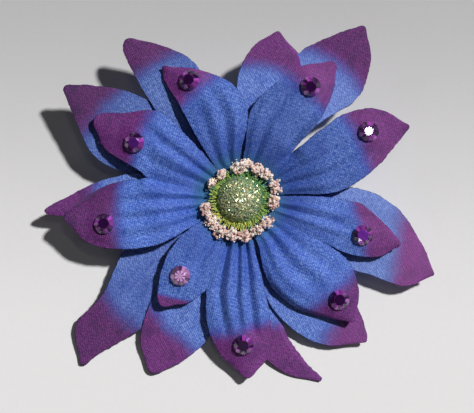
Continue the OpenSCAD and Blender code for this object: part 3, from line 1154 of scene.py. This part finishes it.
def upper_petals() -> tuple[Petal, ...]:
    """The nine petals of the top sheet, which carry the stones.

    Returns:
        The petals, in the order of their headings.
    """
    return (
        Petal(23, 57, (-5, -9.8, -8.3, -3.6), (5.4, 9.2, 11.9, 8.7), (0.5, 1), (7.6, 7.6), -0.5, 0.4,
              Spray(0.73, 0.0, tone=1.3), tone=0.78,
              creases=(Crease(-0.7, -0.6, 0.7, 0.14), Crease(-0.35, -0.3, -0.7, 0.12),
                       Crease(-0.05, -0.05, 0.7, 0.12), Crease(0.25, 0.2, -0.6, 0.12),
                       Crease(0.55, 0.4, 0.6, 0.14))),
        Petal(56, 50.5, (-3.1, -5.8, -6.8, -5), (7.6, 12.8, 11, 7), (-0.5, 2), (7.2, 7.4), -0.8, 0.7,
              Spray(0.79, -0.04, tone=1.5), roll_right=(3.2, 0.28, 0.25), tone=0.74,
              creases=(Crease(0.0, 0.05, 0.5, 0.14), Crease(0.35, 0.3, -0.6, 0.14),
                       Crease(0.7, 0.6, 0.5, 0.14))),
        Petal(112, 47, (-5.6, -12.2, -11.6, -3.5), (3.6, 5.4, 6.5, 7.8), (6.4, 1), (8, 5.4), -0.6, -0.4,
              Spray(0.79, 0.05, tone=1.2), tone=0.85,
              creases=(Crease(-0.6, -0.5, 0.7), Crease(-0.2, -0.15, -0.6), Crease(0.2, 0.1, 0.5),
                       Crease(0.6, 0.4, -0.5))),
        Petal(152, 49.5, (-6, -10, -12.3, -7), (3.6, 6.5, 6.8, 6), (-1, 3.4), (7.4, 5.6), -0.7, 0,
              Spray(0.755, 0.035, tone=0.9), tone=0.93,
              creases=(Crease(-0.6, -0.5, 0.5), Crease(-0.25, -0.3, -0.8, 0.12),
                       Crease(0.1, 0.0, 0.7, 0.14), Crease(0.5, 0.4, -0.6, 0.14))),
        Petal(186, 54, (-5, -9, -9.2, -5.5), (6.7, 11.4, 11.7, 8.8), (0.3, 1.8), (7.2, 7), -0.5, 0.3,
              Spray(0.73, -0.03, tone=0.75), roll_right=(2.2, 0.22, 0.3),
              creases=(Crease(-0.65, -0.6, 0.7, 0.1), Crease(-0.4, -0.35, -0.8, 0.1),
                       Crease(-0.1, -0.1, 0.8, 0.1), Crease(0.15, 0.1, -0.8, 0.1),
                       Crease(0.42, 0.35, 0.7, 0.1), Crease(0.7, 0.6, -0.6, 0.1))),
        Petal(231, 39, (-4.2, -7, -6.6, -4), (3.5, 6.3, 9.2, 8), (1.5, 3), (6.6, 6.2), -0.3, 0,
              Spray(0.97, 0.05, 0.05), tone=0.88,
              creases=(Crease(0.45, 0.4, -0.9, 0.18), Crease(-0.2, -0.1, 0.5, 0.2))),
        Petal(271, 54.4, (-5.9, -10.6, -10.9, -6.8), (4.2, 7, 9, 8.3), (1.5, 2.4), (7.2, 5.6), -0.9,
              0.2,
              Spray(0.76, 0.04, tone=1.15), tone=0.85,
              creases=(Crease(-0.7, -0.4, -1.6, 0.13, 0.12, 0.85),
                       Crease(-0.35, -0.15, 1.0, 0.12, 0.12, 0.9),
                       Crease(0.0, 0.05, -0.9, 0.11, 0.12, 0.8),
                       Crease(0.25, 0.22, 0.8, 0.1, 0.15, 0.9),
                       Crease(0.5, 0.42, -1.4, 0.13, 0.12, 0.9), Crease(0.8, 0.7, 0.7, 0.14, 0.15, 0.9))),
        Petal(311, 51.5, (-5, -10.4, -9.2, -3.6), (5.7, 10.6, 13, 9.2), (1.8, 1.2), (7, 6.4), -0.8,
              -0.4,
              Spray(0.81, -0.02, tone=0.9), roll_right=(1.6, 0.2, 0.35), tone=0.97,
              creases=(Crease(-0.5, -0.45, 0.7, 0.14), Crease(-0.15, -0.1, -0.6, 0.14),
                       Crease(0.2, 0.2, 0.7, 0.14), Crease(0.55, 0.5, -0.6, 0.14))),
        Petal(346, 51, (-3.3, -5.9, -8.4, -7.2), (4.6, 7.1, 7.8, 3.5), (-1.5, 1.5), (7.2, 7.2), -0.6,
              0.3,
              Spray(0.77, 0.08, tone=1.3), tone=1.1,
              creases=(Crease(-0.4, -0.3, 0.6, 0.14), Crease(0.0, 0.0, -0.6, 0.13),
                       Crease(0.4, 0.35, 0.6, 0.14))),
    )


def middle_petals() -> tuple[Petal, ...]:
    """The six petals of the middle sheet.

    Returns:
        The petals, in the order of their headings.
    """
    return (
        Petal(76, 53, (-4, -9, -11, -8), (4.5, 8, 10, 7.5), (1, 1.5), (3.8, 4.2), -0.3, 0,
              Spray(0.8, tone=1.15), roll_right=(2.0, 0.3, 0.5),
              creases=(Crease(0.1, 0.1, 0.5, start=0.5),)),
        Petal(127, 59.6, (-6, -12, -14.5, -9.4), (4, 4.7, 4, 2.6), (-1.5, 2.8), (3.5, 3.2), -0.3, 0,
              Spray(0.845, tone=0.72), tone=0.75,
              creases=(Crease(0.0, 0.0, 0.4, start=0.5), Crease(0.5, 0.5, -0.4, start=0.6))),
        Petal(183, 61, (-7, -10, -8, -3.3), (7, 9, 7, 2.8), (0.5, 1), (3.5, 2.8), -0.3, 0,
              Spray(0.75, tone=0.95), tone=0.9),
        Petal(243, 59, (-6, -8.5, -10.2, -8.1), (6, 9.5, 11.2, 7.4), (-0.1, 3.1), (3.4, 2.6), -0.2, 0,
              Spray(0.8, -0.04, tone=1.1), tone=0.95,
              creases=(Crease(0.1, 0.15, 0.5, start=0.5), Crease(-0.3, -0.3, -0.4, start=0.5),
                       Crease(0.65, 0.6, -0.5, start=0.5))),
        Petal(309, 58.8, (-6.5, -13, -12.9, -7.8), (4, 7, 9, 6.5), (2.5, 1.5), (3.4, 3), -0.2, 0,
              Spray(0.84, 0.06, tone=1.5)),
        Petal(337, 64.8, (-4, -7.6, -6, -5), (9.4, 17.6, 16.8, 9.4), (2, 1), (3.6, 3.6), -0.3, 0.2,
              Spray(0.8, 0.03, tone=1.8), tone=1.6,
              creases=(Crease(0.2, 0.2, 0.4, start=0.4),)),
    )


def lower_petals() -> tuple[Petal, ...]:
    """The five petals of the bottom sheet.

    Returns:
        The petals, in the order of their headings.
    """
    return (
        Petal(22, 50, (-4, -7, -8, -5), (3.5, 6, 9.8, 11.6), (3, 2), (2.7, 2.6), -0.1, 0,
              Spray(1.5)),
        Petal(55, 66, (-4, -6.5, -12.1, -8.8), (6, 11, 11.6, 5.5), (-1, 1.5), (2.5, 3), -0.2, 0,
              Spray(0.79, tone=0.8), tone=1.5,
              creases=(Crease(0.0, 0.0, 0.3, start=0.6),)),
        Petal(150, 64.4, (-7, -12, -12.1, -7.9), (6, 10.4, 11.3, 3.8), (-2.8, 1.6), (2.6, 3.4), -0.2, 0,
              Spray(0.81, -0.02, tone=0.65), tone=0.7,
              creases=(Crease(-0.1, -0.1, -0.8, 0.18, start=0.55), Crease(-0.5, -0.5, 0.4, start=0.55))),
        Petal(226, 71.5, (-10, -15, -10.4, -9.7), (6, 8.4, 5.9, 2.3), (0, 1.2), (2.4, 1.8), -0.1, 0,
              Spray(0.73, tone=0.75), tone=0.82,
              creases=(Crease(-0.35, -0.35, 0.45, start=0.5), Crease(0.0, 0.0, -0.4, start=0.5),
                       Crease(0.3, 0.3, 0.45, start=0.5))),
        Petal(293, 62.2, (-6, -11, -13.4, -8.3), (3, -1, -3.1, -0.8), (1, 0.8), (2.4, 2.2), -0.1, 0,
              Spray(0.66, 0, 0.08, 1.1), roll_left=(0.7, 0.3, 0.5)),
    )


# Stones -------------------------------------------------------------------------------------------


@dataclass
class Rhinestones:
    """Nine flat-backed foiled glass stones on pads of clear cement.

    Each stone that isn't plain is listed by its number, then how much painted reflection lightens its table
    and how strong a painted star it shows.
    """

    count: int = 9
    painted_flashes: tuple = ((1, 0.3, 0.0), (4, 0.35, 0.0), (6, 1.0, 1.0), (9, 0.8, 0.0))

    def axis(self, number: int) -> tuple[np.ndarray, np.ndarray, float]:
        """A stone's centre and axis in the flower's millimetres, and how far its back lies below the centre.

        Args:
            number: The stone's number, from 1.

        Returns:
            The centre, the axis and the depth.
        """
        mesh = frame["nodes"][f"rhinestone_{number}"].data
        points = np.array([v.co for v in mesh.vertices], float)
        inverse = np.array(FLOWER.matrix().inverted())
        points = np.unique(np.round(points @ inverse[:3, :3].T + inverse[:3, 3], 4), axis=0)
        centre = points.mean(axis=0)
        normal = np.linalg.svd(points - centre)[2][2]
        normal = normal if normal[2] > 0 else -normal
        return centre, normal, float(-((points - centre) @ normal).min())

    def seats(self, gap: float = 0.12) -> dict:
        """The plane that the cloth takes under each stone, by the petal's number.

        Args:
            gap: Room for the cement under the stone, in millimetres.

        Returns:
            A point and a normal for each petal.
        """
        found = {}
        for k in range(self.count):
            centre, normal, back = self.axis(k + 1)
            found[k] = (centre - normal * (back + gap), normal)
        return found

    def dress(self) -> None:
        """Gives each stone its own cut of foiled glass, and the pads their cement."""
        turned = FLOWER.matrix().to_3x3() * PER_METRE
        painted_flashes = {number: look for number, *look in self.painted_flashes}
        for number in range(1, self.count + 1):
            centre, normal, _ = self.axis(number)
            up = (turned @ Vector(normal)).normalized()
            start = math.radians(22 * number)
            across = up.cross(Vector((math.sin(start), -math.cos(start), 0))).normalized()
            ahead = up.cross(across)
            where = tuple(float(c) for c in FLOWER.place(centre[None, :])[0])
            glass = FoiledGlass(f"amethyst_glass_{number}", where, tuple(across), tuple(ahead),
                                *painted_flashes.get(number, (0.0, 0.0)))
            clad(f"rhinestone_{number}", glass.make())
            log.info("stone %d cut and foiled", number)
        clad("rhinestone_glue", Cement().make())


@dataclass(frozen=True)
class Cement:
    """Clear jewellery cement, slightly cloudy."""

    name: str = "clear_cement"

    def make(self) -> bpy.types.Material:
        """Builds the material.

        Returns:
            The finished material.
        """
        s = Shader(self.name)
        cloud = s.noise(s.place(), 1200.0, 3.0)
        return s.finish(
            Base_Color=s.blend((0.75, 0.78, 0.85), (0.9, 0.9, 0.95), cloud),
            Roughness=0.12 + cloud * 0.2,
            IOR=1.47,
            Transmission_Weight=0.7,
            Normal=s.bump(cloud, 0.03 * MM),
        )


def clad(node: str, material: bpy.types.Material) -> None:
    """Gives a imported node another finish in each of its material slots.

    Args:
        node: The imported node.
        material: Its new finish.
    """
    piece = frame["nodes"][node]
    if not piece.material_slots:
        piece.data.materials.append(material)
    for slot in piece.material_slots:
        slot.material = material


# Flower centre ------------------------------------------------------------------------------------


@dataclass
class FlowerCentre:
    """A domed seed head under glitter, with filaments that end in a ring of crumbly stamen tips.

    Lengths are millimetres. A cluster of tips has a heading in degrees, a distance from the axis and a size.
    """

    rim: float = 7.2
    dome: float = 4.6
    base: float = 5.4
    skirt: float = 0.6
    flakes: int = 2800
    strands: int = 430
    grains: int = 88
    clusters: tuple = (
        (91, 10.2, 1.25), (78, 11.5, 0.8), (61, 10.8, 1.1), (43, 11.2, 1.0), (19, 11.9, 1.15),
        (355, 10.5, 1.1), (320, 11.2, 1.1), (298, 11.1, 0.95), (279, 11.6, 1.15), (258, 11.4, 1.2),
        (240, 11.8, 1.15), (217, 11.2, 1.3), (197, 11.0, 1.05), (150, 10.2, 0.7), (127, 9.9, 0.85),
    )
    ring_z: float = 6.1

    def radius(self) -> float:
        """Radius of the sphere that the dome is cut from."""
        return (self.rim ** 2 + self.dome ** 2) / (2 * self.dome)

    def seed_head(self) -> bpy.types.Object:
        """Models the dome: a sphere cut level, closed under, let down by its skirt and roughened.

        Returns:
            The seed head.
        """
        ball = self.radius()
        bpy.ops.object.select_all(action="DESELECT")
        bpy.ops.mesh.primitive_uv_sphere_add(segments=96, ring_count=72, radius=ball * MM,
                                             location=(0, 0, (self.base + self.dome - ball) * MM))
        piece = bpy.context.object
        piece.name = piece.data.name = "seed_head_rough"
        start_edit()
        bpy.ops.mesh.bisect(plane_co=(0, 0, self.base * MM), plane_no=(0, 0, 1), clear_inner=True)
        bpy.ops.mesh.extrude_region_move(TRANSFORM_OT_translate={"value": (0, 0, -self.skirt * MM)})
        bpy.ops.mesh.edge_face_add()
        end_edit()
        roughen(piece, 0.9, 0.35)
        bpy.ops.object.shade_smooth()
        greens = ((0.02, 0.14, 0.11), (0.07, 0.32, 0.24), (0.24, 0.4, 0.18))
        piece.data.materials.append(Speckled("seed_head_paint", greens, 700, 0.5).make())
        settle(piece, FLOWER.matrix() @ Matrix.Scale(PER_METRE, 4))
        return piece

    def glitter(self, rng: np.random.Generator) -> bpy.types.Object:
        """Scatters hexagonal flakes over the dome, thinner towards its rim.

        Args:
            rng: Where the random numbers come from.

        Returns:
            The flakes, as one piece.
        """
        bpy.ops.object.select_all(action="DESELECT")
        bpy.ops.mesh.primitive_circle_add(vertices=6, radius=1, fill_type="NGON")
        flake = bpy.context.object
        start_edit()
        bpy.ops.mesh.extrude_region_move(TRANSFORM_OT_translate={"value": (0, 0, 0.14)})
        end_edit()
        ball, places, colours = self.radius(), [], []
        centre = np.array([0, 0, self.base + self.dome - ball])
        low = 1 - self.dome / ball
        for k in range(self.flakes):
            up = 1 - (1 - low + 0.02) * ((k + 0.5) / self.flakes) ** 1.02
            turn = k * GOLDEN_ANGLE + rng.normal(0, 0.3)
            across = math.sqrt(max(0.0, 1 - up * up))
            out = np.array([across * math.cos(turn), across * math.sin(turn), up])
            lean = Vector((0, 0, 1)).rotation_difference(Vector(out)).to_matrix().to_4x4()
            tip = Matrix.Rotation(rng.normal(0, 0.45), 4, "X") @ Matrix.Rotation(rng.normal(0, 0.45), 4, "Y")
            size = rng.uniform(0.14, 0.31) * (1 - 0.3 * (1 - up) / (1 - low))
            at = centre + out * (ball + rng.uniform(0.02, 0.3))
            spin = Matrix.Rotation(rng.uniform(0, 1), 4, "Z")
            places.append(Matrix.Translation(Vector(at)) @ lean @ tip @ spin @ Matrix.Scale(size, 4))
            colours.append(np.clip(rng.beta(2.2, 1.8) - 0.45 * ((1 - up) / (1 - low)) ** 2, 0, 1))
        places = [FLOWER.matrix() @ m for m in places]
        return repeated("glitter_flakes", flake, places, Glitter().make(), np.array(colours))

    def filaments(self, rng: np.random.Generator) -> bpy.types.Object:
        """Models one curved strand by drawing a small ring outwards, and sets copies round the hub.

        Args:
            rng: Where the random numbers come from.

        Returns:
            The strands, as one piece.
        """
        path = ((3.7, 4.45), (5.4, 4.35), (7.0, 4.4), (8.4, 4.7), (9.5, 5.25), (10.1, 5.9))
        bpy.ops.object.select_all(action="DESELECT")
        bpy.ops.mesh.primitive_circle_add(vertices=5, radius=0.16, fill_type="NGON",
                                          location=(path[0][0], 0, path[0][1]), rotation=(0, math.pi / 2, 0))
        strand = bpy.context.object
        start_edit()
        for (r0, z0), (r1, z1) in zip(path, path[1:]):
            bpy.ops.mesh.extrude_region_move(TRANSFORM_OT_translate={"value": (r1 - r0, 0, z1 - z0)})
            bpy.ops.transform.resize(value=(0.92, 0.92, 0.92))
        end_edit()
        bpy.ops.object.shade_smooth()
        settle(strand)
        places = []
        for k in range(self.strands):
            turn = 2 * math.pi * (k + rng.uniform(-0.4, 0.4)) / self.strands
            reach = rng.uniform(0.78, 1.02)
            lean = Matrix.Translation((6.5, 0, 4.5)) @ Matrix.Rotation(rng.normal(0, 0.34), 4, "Z")
            lean = lean @ Matrix.Translation((-6.5, 0, -4.5))
            places.append(FLOWER.matrix() @ Matrix.Translation((0, 0, rng.uniform(-0.05, 0.6)))
                          @ Matrix.Rotation(turn, 4, "Z") @ lean @ Matrix.Diagonal((reach, 1, 1, 1)))
        greens = ((0.1, 0.4, 0.16), (0.5, 0.64, 0.14), (0.92, 0.84, 0.2))
        paint = Speckled("filament_dye", greens, 500, 0.5, grain=True, subsurface=0.1)
        # Strands are yellower and lighter towards heading 235 degrees: partly their own yellow, partly
        # painted light where the dome's shadow falls.
        turns = 2 * math.pi * np.arange(self.strands) / self.strands
        yellow_and_painted_light = np.clip(rng.uniform(0, 0.75, self.strands) + 0.4 * np.cos(turns - math.radians(235)), 0, 1)
        return repeated("stamen_strands", strand, places, paint.make(), yellow_and_painted_light)

    def tips(self, rng: np.random.Generator) -> bpy.types.Object:
        """Models one crumb and heaps copies of it into uneven clusters round the ring.

        Args:
            rng: Where the random numbers come from.

        Returns:
            The crumbs, as one piece.
        """
        bpy.ops.object.select_all(action="DESELECT")
        bpy.ops.mesh.primitive_uv_sphere_add(segments=8, ring_count=6, radius=1)
        crumb = bpy.context.object
        start_edit()
        bpy.ops.transform.vertex_random(offset=0.3, uniform=0.5, normal=0.6, seed=4)
        end_edit()
        places, colours = [], []
        for turn, ring, size in self.clusters:
            middle = np.array([ring, 0, self.ring_z + rng.uniform(-0.3, 0.3)])
            tone = rng.uniform(-0.12, 0.12)
            for _ in range(int(self.grains * size)):
                way = rng.normal(0, 1, 3)
                way /= np.linalg.norm(way)
                at = middle + way * (0.45 + rng.uniform(0.0, 1.45)) * size * np.array([1.0, 1.25, 0.85])
                grain = rng.uniform(0.17, 0.46)
                spin = Quaternion(way, rng.uniform(0, 6)).to_matrix().to_4x4()
                shape = Matrix.Diagonal((*(grain * rng.uniform(0.6, 1.4, 3)), 1))
                places.append(FLOWER.matrix() @ Matrix.Rotation(math.radians(turn), 4, "Z")
                              @ Matrix.Translation(Vector(at)) @ spin @ shape)
                colours.append(np.clip(rng.beta(1.6, 1.1) + tone, 0, 1))
        pinks = ((0.62, 0.26, 0.26), (0.92, 0.7, 0.62), (1.0, 0.96, 0.9))
        paint = Speckled("stamen_crumbs", pinks, 900, 0.55, bump=0.06, grain=True, subsurface=0.1)
        return repeated("stamen_crumbs", crumb, places, paint.make(), np.array(colours))

    def dress(self) -> None:
        """Builds the centre and seats it on the flower."""
        rng = np.random.default_rng(11)
        for piece, node, slot in (
            (self.seed_head(), "seed_head", "seed_head"),
            (self.glitter(rng), "glitter_cap", "glitter"),
            (self.filaments(rng), "stamen_filaments", "filament"),
            (self.tips(rng), "stamen_tips", "stamen_tip"),
        ):
            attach(piece, "flower")
            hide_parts(node)
            log.info("%s in place", piece.name)
        greens = ((0.04, 0.2, 0.07), (0.07, 0.3, 0.1), (0.1, 0.36, 0.14))
        hub = Speckled("hub_plastic", greens, 300, 0.38).make()
        clad("hub_stem", hub)
        clad("hub_washer", hub)


# Backing and clip ---------------------------------------------------------------------------------


@dataclass
class Backing:
    """A round of felt glued under the flower, and the hot glue that holds it to the clip."""

    felt_r: float = 16.0
    felt_low: float = 0.8
    felt_thick: float = 1.2
    pad_r: float = 5.6
    pad_thick: float = 0.8
    rings: int = 7

    def round_slab(self, name: str, radius: float, low: float, thick: float, bevel: float,
                   lump: tuple[float, float], material: bpy.types.Material) -> bpy.types.Object:
        """Models a disc with a rounded edge and a lumpy surface, in the flower's frame.

        Args:
            name: The piece's name.
            radius: Its radius.
            low: Height of its underside.
            thick: Its thickness.
            bevel: Rounding of its edge.
            lump: Size and depth of its lumps.
            material: Its finish.

        Returns:
            The piece.
        """
        bpy.ops.object.select_all(action="DESELECT")
        bpy.ops.mesh.primitive_cylinder_add(vertices=96, radius=radius * MM, depth=thick * MM,
                                            end_fill_type="NGON", location=(0, 0, (low + thick / 2) * MM))
        piece = bpy.context.object
        piece.name = piece.data.name = name
        bpy.ops.object.mode_set(mode="EDIT")
        bpy.ops.mesh.select_mode(type="FACE")
        bpy.ops.mesh.select_all(action="DESELECT")
        bpy.ops.object.mode_set(mode="OBJECT")
        for face in piece.data.polygons:
            face.select = abs(face.normal.z) > 0.9
        bpy.ops.object.mode_set(mode="EDIT")
        for _ in range(self.rings):
            bpy.ops.mesh.inset(thickness=radius * MM / (self.rings + 1.5), use_individual=True)
        bpy.ops.mesh.select_all(action="SELECT")
        bpy.ops.object.mode_set(mode="OBJECT")
        sharp = math.radians(50)
        modify(piece, "BEVEL", width=bevel * MM, segments=3, angle_limit=sharp)
        roughen(piece, *lump)
        bpy.ops.object.shade_smooth_by_angle(angle=sharp)
        piece.data.materials.append(material)
        settle(piece, FLOWER.matrix() @ Matrix.Scale(PER_METRE, 4))
        return piece

    def dress(self) -> None:
        """Builds both pieces."""
        wool = ((0.04, 0.05, 0.22), (0.07, 0.09, 0.32), (0.12, 0.15, 0.42))
        felt_finish = Speckled("felt_wool", wool, 900, 0.95, bump=0.12, sheen=0.6, specular=0.1).make()
        felt = self.round_slab("felt_round", self.felt_r, self.felt_low, self.felt_thick, 0.35, (2.5, 0.14),
                               felt_finish)
        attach(felt, "flower")
        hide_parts("felt_backing")
        melt = ((0.62, 0.6, 0.5), (0.76, 0.74, 0.66), (0.86, 0.85, 0.8))
        glue_finish = Speckled("hot_glue", melt, 260, 0.22, bump=0.05, subsurface=0.3).make()
        glue = self.round_slab("glue_blob", self.pad_r, 0.02, self.pad_thick - 0.04, 0.3, (3.5, 0.3),
                               glue_finish)
        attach(glue, "flower")
        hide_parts("glue_pad")
        log.info("felt and glue in place")


@dataclass
class Clip:
    """A sprung steel clip of two pressed plates on a pin."""

    edge: float = 0.12

    def dress(self) -> None:
        """Builds the plates, the pin and the spring."""
        steel = Plated("clip_nickel").make()
        dark = Plated("spring_wire", (0.5, 0.5, 0.51), (4000.0, 300.0, 300.0), 0.28).make()
        for node, body, slot in (
            ("clip_upper_plate", "flower", "clip_steel"),
            ("clip_lower_jaw", "lower_jaw", "clip_steel"),
            ("clip_pin", "flower", "pin_steel"),
        ):
            piece = softened_copy(node, f"{node}_pressed", self.edge, steel)
            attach(piece, body)
            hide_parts(node)
            log.info("%s in place", piece.name)
        spring = softened_copy("clip_spring", "clip_spring_wire", 0, dark)
        bpy.ops.object.shade_smooth_by_angle(angle=math.radians(60))
        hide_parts("clip_spring")
        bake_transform(spring)


# Studio -------------------------------------------------------------------------------------------


@dataclass
class Studio:
    """A pale table, a sun from the upper right, a faint fill, glint lamps, and a camera above the flower."""

    lens: float = 145.2
    distance: float = 0.6
    aim: tuple[float, float] = (-0.9, -2.3)
    key_power: float = 3.6
    fill_power: float = 0.12
    room: float = 0.02

    def lamp(self, name: str, kind: str, place: Vector, way: Vector, **settings: object) -> None:
        """Adds a lamp.

        Args:
            name: Its name.
            kind: Its type.
            place: Where it stands.
            way: From what it lights back towards it.
            settings: The lamp's own settings.
        """
        data = bpy.data.lights.new(name, kind)
        for key, value in settings.items():
            setattr(data, key, value)
        light = bpy.data.objects.new(name, data)
        bpy.context.scene.collection.objects.link(light)
        light.location = place
        light.rotation_mode = "QUATERNION"
        light.rotation_quaternion = way.to_track_quat("Z", "Y")

    def face(self, name: str, kind: str, azimuth: float, elevation: float, distance: float,
             **settings: object) -> None:
        """Adds a lamp that is turned to the middle of the table.

        Args:
            name: Its name.
            kind: Its type.
            azimuth: Where it stands round the flower, in degrees from +X towards +Y.
            elevation: How high it stands, in degrees.
            distance: How far off it stands.
            settings: The lamp's own settings.
        """
        a, e = math.radians(azimuth), math.radians(elevation)
        place = Vector((math.cos(a) * math.cos(e), math.sin(a) * math.cos(e), math.sin(e))) * distance
        self.lamp(name, kind, place, place, **settings)

    def lights(self) -> None:
        """Adds the key light, a broad faint fill, and small lamps that glint on the stones and the steel."""
        self.face("key", "SUN", 33, 52, 1.2, energy=self.key_power, color=(1.0, 0.985, 0.97),
                  angle=math.radians(5))
        self.face("fill", "AREA", 280, 50, 0.9, shape="DISK", size=0.7, energy=self.fill_power,
                  color=(0.97, 0.98, 1.0))
        for number, (azimuth, elevation) in enumerate(((70, 80), (250, 30), (20, 27), (140, 33))):
            self.face(f"glint_{number}", "AREA", azimuth, elevation, 0.55, shape="DISK", size=0.05,
                      energy=0.05)

    def sparkle(self, place: Vector, normal: Vector) -> None:
        """Adds a very small lamp that the table of one stone mirrors into the camera.

        Args:
            place: The stone's centre.
            normal: The way its table faces.
        """
        seen = (bpy.context.scene.camera.location - place).normalized()
        back = 2 * normal * normal.dot(seen) - seen
        self.lamp("sparkle", "AREA", place + back * 0.5, back, shape="DISK", size=0.0035, energy=0.003)

    def table(self) -> None:
        """Lays the table top."""
        bpy.ops.object.select_all(action="DESELECT")
        bpy.ops.mesh.primitive_plane_add(size=4)
        top = bpy.context.object
        top.name = top.data.name = "table_top"
        top.data.materials.append(Table().make())

    def camera(self) -> None:
        """Sets the camera square to the flower."""
        data = bpy.data.cameras.new("camera")
        data.lens, data.sensor_width = self.lens, 36
        data.clip_start, data.clip_end = 0.01, 20
        camera = bpy.data.objects.new("camera", data)
        bpy.context.scene.collection.objects.link(camera)
        target = FLOWER.matrix() @ Vector((self.aim[0], self.aim[1], 6))
        back = (FLOWER.matrix().to_3x3() @ Vector((0, 0, 1))).normalized()
        camera.location = target + back * self.distance
        camera.rotation_mode = "QUATERNION"
        camera.rotation_quaternion = back.to_track_quat("Z", "Y")
        bpy.context.scene.camera = camera

    def dress(self) -> None:
        """Builds the studio."""
        self.table()
        self.camera()
        self.lights()
        world = bpy.data.worlds.new("soft_room")
        world.use_nodes = True
        nodes, links = world.node_tree.nodes, world.node_tree.links
        split, place = nodes.new("ShaderNodeSeparateXYZ"), nodes.new("ShaderNodeTexCoord")
        fade = nodes.new("ShaderNodeMapRange")
        fade.interpolation_type = "SMOOTHSTEP"
        for socket, value in zip(fade.inputs[1:5], (0.04, 0.26, 0.3, self.room)):
            socket.default_value = value
        links.new(place.outputs["Generated"], split.inputs[0])
        links.new(split.outputs[2], fade.inputs[0])
        links.new(fade.outputs[0], nodes["Background"].inputs[1])
        nodes["Background"].inputs[0].default_value = (0.98, 0.95, 0.96, 1)
        bpy.context.scene.world = world
        bpy.context.scene.view_settings.view_transform = "Standard"


def main() -> None:
    """Builds and dresses the whole clip, and reports each piece."""
    logging.basicConfig(level=logging.INFO, format="%(message)s")
    studio = Studio()
    studio.dress()
    stones = Rhinestones()
    centre, normal, _ = stones.axis(1)
    place = FLOWER.matrix()
    studio.sparkle(place @ Vector(centre), (place.to_3x3() @ Vector(normal)).normalized())
    upper = Taffeta("taffeta_upper")
    middle = Taffeta("taffeta_middle", (0.04, 0.11, 0.52), (0.28, 0.43, 0.9), (0.025, 0.08, 0.44), turn=1.0)
    lower = Taffeta("taffeta_lower", (0.038, 0.105, 0.51), (0.26, 0.4, 0.88), (0.023, 0.075, 0.43), turn=0.7)
    sheets = (
        PetalSheet(Layer.UPPER, upper_petals(), (42, 86.5, 127, 167.2, 210, 249.5, 287, 332.6, 365.3),
                   (21, 11, 11, 29.5, 11, 29.5, 11, 29.5, 11), 3.62, upper, (0.118, 0.112), 0.0056, 3.1,
                   waves=(0.26, 0.06), seats=stones.seats()),
        PetalSheet(Layer.MIDDLE, middle_petals(), (101, 156, 213, 277, 323, 382), (11,) * 6, 3.12, middle,
                   (0.125, 0.112), 0.00493, 17.3),
        PetalSheet(Layer.LOWER, lower_petals(), (38, 102, 188, 262, 336), (11,) * 5, 2.62, lower,
                   (0.107, 0.124), 0.00416, 29.9),
    )
    for sheet in sheets:
        piece = sheet.dress("flower", f"petal_sheet_{sheet.layer.value}")
        log.info("%s has %d faces", piece.name, len(piece.data.polygons))
    LooseThreads().dress([edge for sheet in sheets for edge in sheet.edges])
    stones.dress()
    FlowerCentre().dress()
    Backing().dress()
    Clip().dress()


if __name__ == "__main__":
    main()
